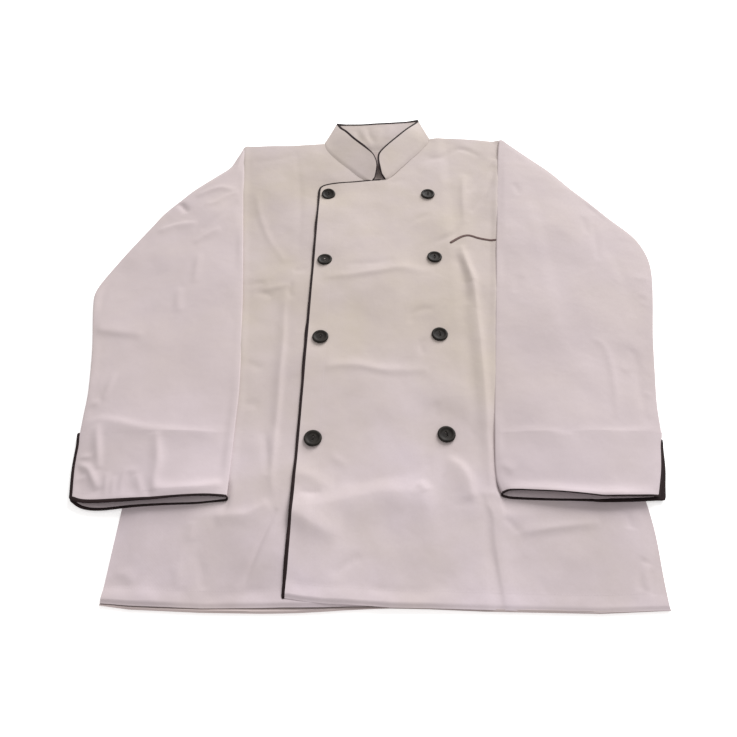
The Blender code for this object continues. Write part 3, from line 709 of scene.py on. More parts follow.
TWILL = twill("polycotton_twill", "#C8BBC1", "#BCB0A5", "#B1A4A3", 0.82)
# The under front is the same cloth as the over front, drawn a shade darker: painted shade,
# standing in for the shade that falls on the under front's tilted surface.
TWILL_UNDER_PAINTED_SHADE = twill("polycotton_twill_under_painted_shade", "#C6B9BF", "#B9ADA2", "#AEA1A1", 0.82)
TWILL_SLEEVE = twill("polycotton_twill_sleeve", "#C4B7BC", "#C0B3B1", "#B4A7AA", 0.82)
TWILL_INSIDE = twill("polycotton_twill_inside", "#B5A7A6", "#B9AAA3", "#AC9D9C", 0.85)
print("twill rib drawn", RIB / MM, "mm wide")

# %% [markdown]
# ## Bias binding and piping
#
# The black edges are a narrow bias strip of polycotton poplin, pressed over the cut edge. It
# is a flat black with a faint brown cast, a close plain weave and a dull gleam. Where it is
# folded the white of worn threads begins to show, so the colour lifts a little in patches.

# %% Black poplin
THREAD_GRAIN = 0.9 * MM
WORN_PATCH = 14 * MM


def poplin(name, colour, worn, rough):
    """Flat black, lifted in patches by wear, with a fine grain."""
    made, tree, shader, where = new_material(name, Roughness=rough, Specular_IOR_Level=0.15)
    wear = add_node(tree, "ShaderNodeTexNoise", {"Vector": where}, Scale=1 / WORN_PATCH,
                    Detail=3.0)
    share = add_node(tree, "ShaderNodeMapRange", {"Value": wear.outputs[0]}, i1=0.45, i2=0.8,
                     i3=0.0, i4=0.55)
    mixed = add_node(tree, "ShaderNodeMix", {0: share.outputs[0]}, data_type="RGBA",
                     i6=linear(colour), i7=linear(worn))
    tree.links.new(mixed.outputs[2], shader.inputs["Base Color"])
    grain = add_node(tree, "ShaderNodeTexNoise", {"Vector": where}, Scale=1 / THREAD_GRAIN,
                     Detail=2.0)
    bump = add_node(tree, "ShaderNodeBump", {"Height": grain.outputs[0]}, Strength=0.5,
                    Distance=0.2 * MM)
    tree.links.new(bump.outputs[0], shader.inputs["Normal"])
    return made


PIPING_CLOTH = poplin("black_poplin", "#221718", "#3A2C2C", 0.75)
WORN_PIPING = poplin("worn_poplin", "#665350", "#786562", 0.8)

# %% [markdown]
# ## Button plastic and sewing thread
#
# The buttons are cast polyester resin, turned on a lathe and tumbled: nearly black, with a faint
# green or grey drift in the resin and a soft gloss. The thread is a matt spun polyester.

# %% Resin and thread
RESIN_DRIFT = 5 * MM
SCRATCH = 0.8 * MM
THREAD_FUZZ = 1.1 * MM


def resin(name, colour, drift):
    """Two dark tones that drift into each other, dulled by fine scratches."""
    made, tree, shader, where = new_material(name, IOR=1.45, Specular_IOR_Level=0.2)
    cloud = add_node(tree, "ShaderNodeTexNoise", {"Vector": where}, Scale=1 / RESIN_DRIFT,
                     Detail=3.0)
    share = add_node(tree, "ShaderNodeMapRange", {"Value": cloud.outputs[0]}, i1=0.35, i2=0.75)
    mixed = add_node(tree, "ShaderNodeMix", {0: share.outputs[0]}, data_type="RGBA",
                     i6=linear(colour), i7=linear(drift))
    tree.links.new(mixed.outputs[2], shader.inputs["Base Color"])
    scratch = add_node(tree, "ShaderNodeTexNoise", {"Vector": where}, Scale=1 / SCRATCH,
                       Detail=2.0)
    dull = add_node(tree, "ShaderNodeMapRange", {"Value": scratch.outputs[0]}, i1=0.3, i2=0.7,
                    i3=0.50, i4=0.65)
    tree.links.new(dull.outputs[0], shader.inputs["Roughness"])
    return made


def spun_thread(name, colour, pale):
    """Matt thread whose fuzz shows as a paler tone."""
    made, tree, shader, where = new_material(name, Roughness=0.8)
    fuzz = add_node(tree, "ShaderNodeTexNoise", {"Vector": where}, Scale=1 / THREAD_FUZZ)
    mixed = add_node(tree, "ShaderNodeMix", {0: fuzz.outputs[0]}, data_type="RGBA",
                     i6=linear(colour), i7=linear(pale))
    tree.links.new(mixed.outputs[2], shader.inputs["Base Color"])
    return made


BUTTON_RESIN = resin("cast_polyester_resin", "#1A1614", "#2E2A26")
WHITE_THREAD = spun_thread("spun_thread_white", "#C6BABE", "#D2C7CB")
BLACK_THREAD = spun_thread("spun_thread_black", "#15110F", "#2A2422")

# %% [markdown]
# ## Floor, light and camera
#
# The jacket lies on a pale studio floor of opal acrylic, lit a little from below so that shadows
# on it stay faint. The light is plain and soft: a wide bright sky all round, and one large soft
# box beyond the collar, towards the wearer's left, which rakes across the cloth and draws out its
# creases. The camera stands at the hem and looks down at 57 degrees, through a wide lens, so the
# near hem looks wider than the shoulders.

# %% Floor
FLOOR_SIZE = 9.0
FLOOR_GLOW = 0.40


def pale_floor():
    """A square sheet under the jacket, left apart from the jacket's body."""
    mesh = bpy.data.meshes.new("floor")
    h = FLOOR_SIZE / 2
    mesh.from_pydata([(-h, -h, 0), (h, -h, 0), (h, h, 0), (-h, h, 0)], [], [(0, 1, 2, 3)])
    made, tree, shader, where = new_material("pale_floor", Roughness=0.9,
                                             Specular_IOR_Level=0.1,
                                             Emission_Color=linear("#FFFFFF"),
                                             Emission_Strength=FLOOR_GLOW)
    drift = add_node(tree, "ShaderNodeTexNoise", {"Vector": where}, Scale=1.5)
    mixed = add_node(tree, "ShaderNodeMix", {0: drift.outputs[0]}, data_type="RGBA",
                     i6=linear("#F9F8F8"), i7=linear("#FBFBFB"))
    tree.links.new(mixed.outputs[2], shader.inputs["Base Color"])
    floor = add_object("floor", mesh, made)


pale_floor()

# %% Camera
LENS_MM = 28.005
SENSOR_MM = 36.0
CAMERA_PLAN = (-16.0, -112.54, 598.85)
CAMERA_TILT = 33.4    # degrees from straight down

camera_data = bpy.data.cameras.new("camera")
camera_data.lens = LENS_MM
camera_data.sensor_width = SENSOR_MM
camera_data.clip_start = 0.05
camera = bpy.data.objects.new("camera", camera_data)
camera.location = place(CAMERA_PLAN)
camera.rotation_euler = (math.radians(CAMERA_TILT), 0, 0)
SCENE.collection.objects.link(camera)
SCENE.camera = camera
print("camera at", [round(float(v), 3) for v in camera.location])

# %% Light
SKY_STRENGTH = 0.64
SOFT_BOX_WATTS = 2750.0
SOFT_BOX_SIZE = 7.6
SOFT_BOX_AT = (6.1, 11.7, 6.85)

world = bpy.data.worlds.new("studio")
SCENE.world = world
world.use_nodes = True
sky = world.node_tree.nodes["Background"]
sky.inputs[0].default_value = linear("#FFFDFC")
sky.inputs[1].default_value = SKY_STRENGTH

box_light = bpy.data.lights.new("soft_box", "AREA")
box_light.shape = "SQUARE"
box_light.size = SOFT_BOX_SIZE
box_light.energy = SOFT_BOX_WATTS
soft_box = bpy.data.objects.new("soft_box", box_light)
soft_box.location = SOFT_BOX_AT
aim = -np.array(SOFT_BOX_AT)     # at the middle of the jacket
yaw = math.atan2(-aim[0], aim[1])
soft_box.rotation_euler = (math.acos(-aim[2] / np.linalg.norm(aim)), 0, yaw)
SCENE.collection.objects.link(soft_box)
SCENE.view_settings.view_transform = "Standard"
print("sky", SKY_STRENGTH, "and one soft box of", SOFT_BOX_WATTS, "W")

# %% [markdown]
# ## The body: back and two crossing fronts
#
# A chef's coat is double-breasted: the two fronts cross in a wide lap, the wearer's left over the
# right. Each panel is hung from its top edge, as the pattern is: every column of the grid runs
# straight down to the hem. The hem is folded twice and stitched 16 mm up, which leaves a band
# that is a little thicker, a shallow groove along the stitches, and small puckers.

# %% Body panel heights
HEM_FOLD = 16.0        # stitch line of the hem, from its edge
HEM_ROUND = 5.0        # over this much the folded edge rounds off
STAND_STITCH = 24.0    # stitch line of the button stand, from the front edge
STAND_TOP = (596, 612)     # y where that line ends
LAP_FROM = (-92, -80)      # x where the over front begins to cover the under one
UNSEEN_CREASES = 0.25      # how much of the relief is kept there
REST_FROM = 0.3        # a lift under this is slowed down
REST_AT = -0.25        # and stops here


def back_hem_relief(x, above_hem):
    """The back's hem shows below the fronts: a folded edge about as high as they are."""
    showing = lookup(HEM, x, 2) - lookup(HEM, x, 1)
    return 1.9 * (1 - ramp(0.45, 1.0, above_hem / showing)) - 0.9 * (1 - ramp(0, 2.5, above_hem))


def hem_relief(x, above_hem):
    """Folded hem: thickest at its edge, rolled up towards the wearer's right, and puckered."""
    rolled_up = 0.5 + 1.3 * (1 - ramp(0, 110, x)) * ramp(-150, -90, x) \
        + 1.1 * (1 - ramp(-225, -190, x))
    band = rolled_up * (1 - ramp(2, HEM_FOLD + 3, above_hem))
    groove = -0.03 * np.exp(-((above_hem - HEM_FOLD) / 3.0) ** 2)
    puckers = 0.35 * soft_noise(x, above_hem, 11, 5) * np.exp(-((above_hem - 11) / 8.0) ** 2)
    puckers = puckers * (1 - 0.7 * ramp(20, 90, x))
    rounded = (0.6 + 0.5 * rolled_up) * (1 - ramp(0, HEM_ROUND, above_hem))
    return band + groove + puckers - rounded


def over_front_top(x):
    """Upper face of the over front, before its creases."""
    return CLOTH + LAYER * (2 - ramp(UNDERLAP_X + 1, UNDERLAP_X + 1 + STEP_DOWN, x))


def front_edge_x(y):
    """Front edge of the over front at the height y."""
    return lookup(FRONT_EDGE, y, 1)


def settle(lift):
    """A layer cannot sink into the one beneath: a low place comes to rest softly."""
    softness = REST_FROM - REST_AT
    rested = REST_AT + softness * np.exp(np.minimum(lift - REST_FROM, 0) / softness)
    return np.where(lift > REST_FROM, lift, rested)


def body_relief(x, y):
    """Relief that the two fronts share: air, and what is uneven in the cloth."""
    loose = (1 - pressed(x, y)) * (0.35 + 0.65 * ramp(0, 40, y))
    return trapped_air(x, y) + bank(x, y) + unevenness(x, y) * loose


def under_height(x, y):
    """Upper face of the under front. Its creases fade out where the other front covers it."""
    shows = 1 - ramp(*LAP_FROM, x)
    free = (1 - pressed(x, y)) * (UNSEEN_CREASES + (1 - UNSEEN_CREASES) * shows)
    return LAYER + CLOTH + settle(body_relief(x, y) + creases(UNDER_CREASES, x, y) * shows * free)


def over_height(x, y):
    """Upper face of the over front, with the shallow groove of its button stand."""
    free = 1 - pressed(x, y)
    from_edge = x - front_edge_x(y)
    stand = -0.12 * np.exp(-((from_edge - STAND_STITCH) / 2.5) ** 2) * (1 - ramp(*STAND_TOP, y))
    lift = body_relief(x, y) + creases(OVER_CREASES, x, y) * free + stand
    return over_front_top(x) + settle(lift)


def back_height(x, _):
    """The back lies flat on the table."""
    return np.full(x.shape, CLOTH)


print("over front at its middle:",
      round(float(over_height(np.array([0.0]), np.array([300.0]))[0]), 2), "mm up")


# %% Panel maker
PANEL_TOP = 700        # height of the grid before each column is scaled to its own length
CLOSE_ROWS_TO = 24     # below this the rows lie closer, for the hem
EDGE_ROWS_TO = 6       # and closest at its rounded edge,
EDGE_ROW_STEP = 1.1    # this far apart
LAP_ROWS = (62, 135)   # twice as fine here too, where the lap's ridges lie


def finer(rows, low, high):
    """Adds the midpoints between the rows whose first number lies between low and high."""
    middles = (rows[1:] + rows[:-1]) / 2
    both = np.vstack([rows, middles[(middles[:, 0] > low) & (middles[:, 0] < high)]])
    return both[np.argsort(both[:, 0])]


def side_bulge(x, y):
    """Below the left cuff the side seam swings out a little."""
    return 4.5 * ramp(200, 284, x) * np.exp(-((y - 80) / 48) ** 2)


def panel(name, top, hem, height, look, step, row_step, fold=(0, 0)):
    """Cloth from a top edge straight down to a hem, `step` apart across and `row_step` up.

    The grid is twice as fine across where `fold` lies.
    """
    line = finer(even(top, step, (1.0, 0.3)), *fold)
    share = (line[:, 0] - line[0, 0]) / (line[-1, 0] - line[0, 0])
    ends = HEM_ENDS[hem]
    hem_x = ends[0] + share * (ends[1] - ends[0])
    hem_y = lookup(HEM, hem_x, HEM_COLUMN[hem])
    near_hem = np.concatenate([np.arange(0, EDGE_ROWS_TO, EDGE_ROW_STEP),
                               np.arange(EDGE_ROWS_TO, CLOSE_ROWS_TO, row_step / 2)])
    middle = np.linspace(CLOSE_ROWS_TO, PANEL_TOP, int((PANEL_TOP - CLOSE_ROWS_TO) / row_step))
    rise = finer(np.concatenate([near_hem, middle])[:, None], *LAP_ROWS)
    t = rise / PANEL_TOP
    x = hem_x + t * (line[:, 0] - hem_x)
    y = hem_y + t * (line[:, 1] - hem_y)
    x = x + side_bulge(x, y)
    relief = back_hem_relief if hem == "back" else hem_relief
    z = height(x, y) + relief(x, y - hem_y)
    return grid_object(name, np.stack([x, y, z], axis=-1), look)


right_shoulder = curve(RIGHT_SHOULDER, 4)
left_shoulder = curve(LEFT_SHOULDER, 4)
back_top = np.vstack([right_shoulder, curve(BACK_NECK, 4)[1:-1], left_shoulder])
under_top = np.vstack([right_shoulder, curve(UNDER_NECK, 4)[1:]])
over_top = np.vstack([curve(OVER_NECK, 4)[:-1], left_shoulder])

# %% Cut the three body panels
back = cloth(panel("back", back_top, "back", back_height, TWILL_INSIDE, 5.0, 6.0))
under_front = cloth(panel("under_front", under_top, "under", under_height, TWILL_UNDER_PAINTED_SHADE, 2.9,
                          3.3, (-142, -112)))
over_front = cloth(panel("over_front", over_top, "over", over_height, TWILL, 2.7, 3.1,
                         (111, 140)))
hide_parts("back_panel")
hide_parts("front_right_under")
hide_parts("front_left_over")
for body_panel, slot in ((back, "cloth_inside"), (under_front, "cloth"), (over_front, "cloth")):
    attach(body_panel, "root")
    print(body_panel.name, len(body_panel.data.polygons), "faces")

# %% [markdown]
# ## Sleeves
#
# Each sleeve is a flattened tube, folded forward along the armhole, so that it lies down the
# side of the body. Its section is a flat ring: two layers joined by a soft round fold at each
# side. The folds are what catches the light, so they get points of their own.

# %% Sleeve section
FOLD_STEPS = 6         # faces round each fold
SLEEVE_STEP = 3.0      # between the rows
SLEEVE_CLOTH = 0.6     # its two layers lie closer than the body's
SLEEVE_FOLD = 3.6      # thickness over both layers at a fold
MOUTH_FOLD = 1.2       # how much thicker it is at the bound mouth
MOUTH_FOLD_Y = (112, 150)      # y over which that thickening fades
LOFT_ADDED = 2.8       # the tables give the loft over an empty sleeve this thick
LOFT_SHAPE = 0.62      # 1 is a half sine across the sleeve, less is fuller near its folds
SLEEVE_UNEVEN = 0.8    # a sleeve's share of the unevenness,
UNEVEN_SHIFT = 900     # taken this far beside the body's
FOLD_MARGIN = 11       # creases fade out this near to a fold


def flat_ring(count):
    """Shares round a flattened tube: across the top from the inner fold, then back beneath.

    Each row is (share across, way round a fold in quarter turns from 1 on top to -1 beneath).
    """
    across = np.linspace(0, 1, count)
    turns = np.linspace(-1, 1, FOLD_STEPS + 1)[1:-1]
    rows = [(s, 1.0) for s in across] + [(1.0, turn) for turn in turns[::-1]]
    rows += [(s, -1.0) for s in across[::-1]] + [(0.0, turn) for turn in turns]
    return np.array(rows)


def tube_points(side, ring, y):
    """Points of a flattened tube: `ring` round it, at the heights y (rows, or rows by ring)."""
    share, turn = ring.T
    y = np.asarray(y, float)
    y = y[:, None] + 0 * share if y.ndim == 1 else y
    inner, outer = sleeve_line(side, y, 1), sleeve_line(side, y, 2)
    width = np.abs(outer - inner)
    fold = SLEEVE_FOLD + MOUTH_FOLD * (1 - ramp(*MOUTH_FOLD_Y, y))
    radius = np.minimum(fold / 2, width * 0.3)
    straight = width - 2 * radius
    angle = turn * math.pi / 2
    bulge = radius * np.cos(angle) * np.where(share > 0.5, 1, -1)
    x = inner + side * (radius + share * straight + bulge)
    on_top = ramp(-1, 1, turn)
    loft = np.maximum(sleeve_line(side, y, 3) - fold + LOFT_ADDED, 0)
    puff = loft * np.sin(math.pi * share) ** LOFT_SHAPE
    soft = np.minimum(ramp(0, FOLD_MARGIN, share * width),
                      ramp(0, FOLD_MARGIN, (1 - share) * width))
    table = RIGHT_SLEEVE_CREASES if side < 0 else LEFT_SLEEVE_CREASES
    uneven = SLEEVE_UNEVEN * unevenness(x + UNEVEN_SHIFT, y)
    relief = (creases(table, x, y) + uneven) * soft
    z = sleeve_low(side, x, y) + radius * (1 + np.sin(angle)) + on_top * (puff + relief)
    return np.stack([x, y, z], axis=-1)


# %% Make both sleeves
SLEEVE_ACROSS = 66


def sleeve(name, side, rows):
    """A sleeve from its cuff seam up to the top row of its table."""
    ring = flat_ring(SLEEVE_ACROSS)
    top = rows[0][0]
    heights = np.linspace(CUFF_SEAM_Y, top, int((top - CUFF_SEAM_Y) / SLEEVE_STEP))
    points = tube_points(side, ring, heights)
    made = grid_object(name, points, TWILL_SLEEVE, loop=True, flip=side < 0)
    return cloth(made, SLEEVE_CLOTH)


right_sleeve = sleeve("right_sleeve", -1, RIGHT_SLEEVE)
left_sleeve = sleeve("left_sleeve", 1, LEFT_SLEEVE)
for made, hand in ((right_sleeve, "right"), (left_sleeve, "left")):
    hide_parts(f"sleeve_{hand}_upper", f"sleeve_{hand}_under")
    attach(made, "root")
    print(made.name, len(made.data.polygons), "faces")

# %% [markdown]
# ## Cuffs
#
# A cuff is a straight band, sewn to the sleeve and left open at the outer side as a short
# slit. Seen from its mouth it is a letter C: under layer, inner fold, upper layer. The under
# layer reaches a little further than the upper one, so the mouth shows the inside.

# %% Cuff shell
CUFF_ACROSS = 84
CUFF_ROWS = 40
CUFF_CLOTH = 0.7


def cuff_ring():
    """Open ring: along the upper layer from the slit to the inner fold, then the under one."""
    across = np.linspace(1, 0, CUFF_ACROSS)
    turns = np.linspace(1, -1, FOLD_STEPS + 1)[1:-1]
    rows = [(s, 1.0) for s in across] + [(0.0, turn) for turn in turns]
    rows += [(s, -1.0) for s in across[::-1]]
    return np.array(rows)


def cuff_points(side, edge_table, ring, down):
    """Points of a cuff at the shares `down` from its seam to its edge."""
    share, turn = ring.T
    top_y = lookup(curve(edge_table, 4), share, 1)
    low_y = lookup(curve(edge_table, 4), share, 2)
    edge_y = low_y + ramp(-1, 1, turn) * (top_y - low_y)
    down = np.asarray(down)[:, None]
    points = tube_points(side, ring, CUFF_SEAM_Y + down * (edge_y - CUFF_SEAM_Y))
    drawn_in, pushed_out = RIGHT_SLIT if side < 0 else LEFT_SLIT
    slit = np.where(turn > 0, -drawn_in * ramp(0.6, 1, share), pushed_out * ramp(0.85, 1, share))
    still_closed = SLEEVE_FOLD / 2 * (1 - ramp(0.0, 0.25, down)) * ramp(0.9, 1, share)
    points[:, :, 0] += side * (down * slit + still_closed)
    return points


def cuff(name, side, edge_table):
    """A cuff from its seam to its edge."""
    points = cuff_points(side, edge_table, cuff_ring(), np.linspace(0, 1, CUFF_ROWS))
    made = grid_object(name, points, TWILL_SLEEVE, flip=side < 0)
    return cloth(made, CUFF_CLOTH)


right_cuff = cuff("right_cuff", -1, RIGHT_CUFF_EDGE)
left_cuff = cuff("left_cuff", 1, LEFT_CUFF_EDGE)
for made, hand in ((right_cuff, "right"), (left_cuff, "left")):
    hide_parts(f"cuff_{hand}_upper", f"cuff_{hand}_under")
    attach(made, "root")
    print(made.name, len(made.data.polygons), "faces")

# %% [markdown]
# ## Edges in black: piping and binding
#
# One tool makes them all: a strip swept along a line, wider than it is high, with its wide
# side pointing away from the cloth. Its width may change along the way, because a pressed strip
# rolls towards the eye in some places and away from it in others.

# %% The strip tool
STRIP_SIDES = 12
STRIP_SECTION = 0.8    # 1 is an ellipse, less is squarer
OVERLAP = 0.6          # how much of a strip's width lies on the cloth


def strip(name, path, outward, width, height, look, step=2.5):
    """A closed oval strip along `path`, its wide axis along `outward`, both in plan units."""
    path, outward = np.asarray(path, float), np.asarray(outward, float)
    width = np.broadcast_to(np.asarray(width, float), (len(path),))
    rows = even(np.column_stack([path, outward, width]), step, (1, 1, 1))
    path, outward, width = rows[:, :3], rows[:, 3:6], rows[:, 6]
    run = unit(np.gradient(path, axis=0))
    outward = unit(outward - run * (outward * run).sum(axis=1)[:, None])
    rise = np.cross(run, outward)
    angle = np.linspace(0, 2 * math.pi, STRIP_SIDES, endpoint=False)
    wide = np.sign(np.cos(angle)) * np.abs(np.cos(angle)) ** STRIP_SECTION
    tall = np.sign(np.sin(angle)) * np.abs(np.sin(angle)) ** STRIP_SECTION
    end = np.minimum(np.arange(len(path)), np.arange(len(path))[::-1])
    close = np.clip((end + 0.6) / 1.6, 0, 1)[:, None, None] ** 0.5
    ring = (outward[:, None, :] * wide[None, :, None] * width[:, None, None] / 2
            + rise[:, None, :] * tall[None, :, None] * height / 2) * close
    return grid_object(name, path[:, None, :] + ring, look, loop=True, caps=True)


def sideways(path, turn):
    """Unit vectors across a path in plan view: turn 1 is to its left, -1 to its right."""
    run = unit(np.gradient(np.asarray(path, float)[:, :2], axis=0))
    return np.column_stack([-run[:, 1] * turn, run[:, 0] * turn, np.zeros(len(run))])


# %% Front edge piping
PIPING_WIDTH = 3.5
TOP_PIPING_WIDTH = 3.1
PIPING_HEIGHT = 2.0
UNDER_COLLAR_X = 5.5   # along the top edge the piping starts here, under the collar
PIPING_FOOT = (-98.5, 8.6)     # where it ends at the hem


def front_piping():
    """From the collar along the top edge, round the corner and down to the hem."""
    top = np.array([(x, y) for x, y in over_top if x <= UNDER_COLLAR_X])[::-1]
    ys = np.arange(584, 9, -12.0)
    side = np.column_stack([front_edge_x(ys), ys])
    line = even(np.vstack([top, side, [PIPING_FOOT]]), 3.0)
    out = sideways(line, -1)
    path = np.column_stack([line, over_height(line[:, 0], line[:, 1]) - CLOTH * 0.45])
    width = PIPING_WIDTH + (TOP_PIPING_WIDTH - PIPING_WIDTH) * ramp(612, 626, line[:, 1])
    width = width * (1 + 0.12 * soft_noise(line[:, 0], line[:, 1], 18, 7))
    path += out * (width[:, None] / 2 - OVERLAP)
    return strip("front_piping", path, out, width, PIPING_HEIGHT, PIPING_CLOTH)


front_edge = front_piping()
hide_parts("front_edge_piping")
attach(front_edge, "root")
print("front piping:", len(front_edge.data.polygons), "faces")


# %% Cuff bindings
SLIT_ROWS = 24
BINDING_HEIGHT = 1.7
BINDING_BEYOND = 2.6   # most that a binding stands out beyond the cloth
SLIT_TOP_WIDTH = 2.4   # its width at the top of the under slit
CORNER_ROWS = 9        # points on each side over which it turns a corner
FOLD_SWING = 0.9       # how far it swings outwards round the inner fold
# share across from the inner fold, width of the binding
RIGHT_UPPER_WIDTH = [(0, 2.8), (0.3, 2.6), (0.6, 4.0), (1, 4.4)]
RIGHT_UNDER_WIDTH = [(0, 2.8), (0.1, 2.2), (0.3, 2.4), (0.7, 3.2), (1, 3.6)]
LEFT_UPPER_WIDTH = [(0, 2.8), (0.03, 2.0), (0.1, 1.4), (0.5, 1.3), (0.65, 2.0), (1, 2.4)]
# On the left cuff the under binding is 4.4 mm wide from 0.66 across: partly real binding, partly a
# black strip of painted shade that fills the deep shade in the cuff's mouth.
LEFT_UNDER_WIDTH_AND_PAINTED_SHADE = [(0, 2.8), (0.4, 2.4), (0.55, 3.0), (0.66, 4.4), (0.94, 4.4), (1, 8.4)]


def cuff_binding(name, side, edge_table, upper_width, under_width):
    """Down the slit on the upper layer, round the mouth, and up the slit on the under layer."""
    ring = cuff_ring()
    edge = cuff_points(side, edge_table, ring, [0.97, 1.0])
    slit_down = np.linspace(0.12 if side > 0 else 0.0, 0.94, SLIT_ROWS)
    upper_slit = cuff_points(side, edge_table, ring[:1], slit_down)[:, 0]
    under_slit = cuff_points(side, edge_table, ring[-1:], slit_down)[::-1, 0]
    mouth = edge[1]
    out_mouth = unit(edge[1] - edge[0])
    at_fold = np.cos(ring[:, 1] * math.pi / 2) * (ring[:, 0] < 0.01)
    out_mouth[:, 0] -= side * FOLD_SWING * at_fold
    out_mouth = unit(out_mouth)
    out_slit = np.repeat([[side * 1.0, -0.1, 0.0]], SLIT_ROWS, 0)
    path = np.vstack([upper_slit, mouth, under_slit])
    out = np.vstack([out_slit, out_mouth, out_slit])
    on_slit = np.full(SLIT_ROWS, 1.0)
    turn = np.concatenate([on_slit, ring[:, 1], -on_slit])
    path[:, 2] -= CUFF_CLOTH * 0.5 * turn
    for corner in (SLIT_ROWS, SLIT_ROWS + len(mouth)):
        low, high = corner - CORNER_ROWS, corner + CORNER_ROWS
        weight = ramp(0, 1, np.linspace(0, 1, high - low))[:, None]
        out[low:high] = out[low] * (1 - weight) + out[high - 1] * weight
    share = np.concatenate([on_slit, ring[:, 0], on_slit])
    on_top = ramp(-1, 1, turn)
    width = on_top * np.interp(share, *zip(*upper_width)) \
        + (1 - on_top) * np.interp(share, *zip(*under_width))
    # Up the under slit the binding narrows towards the seam; its outer side stays put.
    narrowing = np.concatenate([np.zeros(SLIT_ROWS + len(mouth)), 1 - slit_down[::-1]])
    width = width + narrowing * (SLIT_TOP_WIDTH - width)
    beyond = np.minimum(width - OVERLAP, BINDING_BEYOND)
    path = path + out * (beyond - width / 2)[:, None]
    return strip(name, path, out, width, BINDING_HEIGHT, PIPING_CLOTH, 2.2)


right_binding = cuff_binding("right_cuff_binding", -1, RIGHT_CUFF_EDGE, RIGHT_UPPER_WIDTH,
                             RIGHT_UNDER_WIDTH)
left_binding = cuff_binding("left_cuff_binding", 1, LEFT_CUFF_EDGE, LEFT_UPPER_WIDTH,
                            LEFT_UNDER_WIDTH_AND_PAINTED_SHADE)
for made, hand in ((right_binding, "right"), (left_binding, "left")):
    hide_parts(f"cuff_{hand}_upper_binding", f"cuff_{hand}_under_binding")
    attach(made, "root")
    print(made.name, len(made.data.polygons), "faces")

# %% [markdown]
# ## Stand collar
#
# The collar is one straight band, sewn round the neck. Laid flat, its two front halves fold
# forward over the back, so one strip runs from front end to front end with a soft roll at each
# side of the neck. The halves stand a little off the cloth, because the band is interlined.

# %% Collar band
COLLAR_CLOTH = 1.2
COLLAR_RISE = 7.5
BACK_RISE = 4.0
COLLAR_FULL = 40.0     # band height from which that rise is reached
COLLAR_ACROSS = 20
ROLL_STEPS = 7
RIGHT_SEAM_Z = LAYER + 2 * CLOTH + GAP
LEFT_SEAM_Z = 2 * LAYER + 2 * CLOTH + GAP
BACK_SEAM_Z = CLOTH + GAP
SEAM_DIVE = 1.6        # how far the band's raw edge dips under, beyond its seam
HALF_BELOW = 0.06      # share of its height that a half reaches below its seam
BACK_BELOW = 0.05      # and the back of the neck
COLLAR_CREASES = [
    (0.6, 4, 4, [(-26, 774), (-22, 752), (-14, 730), (-9, 712)]),
    (-0.9, 4, 4, [(-17, 772), (-14, 752), (-8, 734)]),
    (0.6, 4, 4, [(4, 772), (1, 750), (-2, 726)]),
    (-0.8, 4, 5, [(-38, 770), (-33, 752), (-26, 734)]),
    (0.7, 6, 6, [(24, 780), (20, 760), (15, 742)]),
]


def band_plan(fine, below):
    """Share up the band, x and y, from just below the seam to the top edge of rows `fine`."""
    t = np.linspace(-below, 1, COLLAR_ACROSS)[None, :]
    x = fine[:, 0:1] + t * (fine[:, 2:3] - fine[:, 0:1])
    y = fine[:, 1:2] + t * (fine[:, 3:4] - fine[:, 1:2])
    return t, x, y


def collar_half(rows, seam_z):
    """Points of a front half, from the roll to the front end: rows along, columns up."""
    fine = curve(rows, 6)
    t, x, y = band_plan(fine, HALF_BELOW)
    s = np.linspace(0, 1, len(fine))[:, None]
    height = np.hypot(fine[:, 2] - fine[:, 0], fine[:, 3] - fine[:, 1])[:, None]
    full = np.minimum(1, height / COLLAR_FULL)
    rise = COLLAR_RISE * full * np.clip(t, 0, 1) * (0.45 + 0.55 * ramp(0.0, 0.25, s))
    crown = 0.3 * full * np.sin(math.pi * np.clip(t, 0, 1)) * ramp(0, 0.2, s)
    dive = SEAM_DIVE * (1 - ramp(-HALF_BELOW, 0.03, t))
    waves = 0.5 * soft_noise(x, y, 26, 4) * np.clip(t, 0, 1)
    return np.stack([x, y, seam_z + rise + crown - dive + waves], axis=-1)


def collar_back():
    """Inside of the band at the back of the neck, with the puckers of its seam."""
    t, x, y = band_plan(curve(BACK_COLLAR, 8), BACK_BELOW)
    puckers = creases(COLLAR_CREASES, x, y)
    dive = SEAM_DIVE * (1 - ramp(-BACK_BELOW, 0.2, t))
    rise = (BACK_RISE + 0.6 * soft_noise(x, y, 24, 6)) * np.clip(t, 0, 1)
    z = np.maximum(BACK_SEAM_Z + 1.1 + rise + puckers - dive, COLLAR_CLOTH + 0.1)
    return np.stack([x, y, z], axis=-1)


def roll(start, end, way):
    """Half turn that joins two rows lying over each other; it bulges along x by `way`."""
    out = []
    for k in range(1, ROLL_STEPS):
        a = math.pi * k / ROLL_STEPS
        middle = (start + end) / 2
        row = middle + (start - end) / 2 * math.cos(a)
        row = row + np.abs(start - end)[:, 2:3] / 2 * math.sin(a) * np.array([[way, 0, 0]])
        out.append(row)
    return np.array(out)


right_half = collar_half(RIGHT_COLLAR, RIGHT_SEAM_Z)[::-1]
left_half = collar_half(LEFT_COLLAR, LEFT_SEAM_Z)
back_band = collar_back()
band = np.concatenate([right_half, roll(right_half[-1], back_band[0], -1), back_band,
                       roll(back_band[-1], left_half[0], 1), left_half])
print("collar band:", band.shape[0], "rows along,", band.shape[1], "across")

# %% Sew on the collar and its piping
collar = cloth(grid_object("collar", band, TWILL, flip=True), COLLAR_CLOTH)

# share along the whole band, from the wearer's right front end to the left one, and width
COLLAR_PIPING = [(0, 2.2), (0.12, 2.6), (0.18, 5.4), (0.35, 5.4), (0.38, 2.6), (0.60, 2.6),
                 (0.64, 4.8), (0.70, 4.0), (0.86, 3.6), (0.93, 4.0), (1, 3.2)]


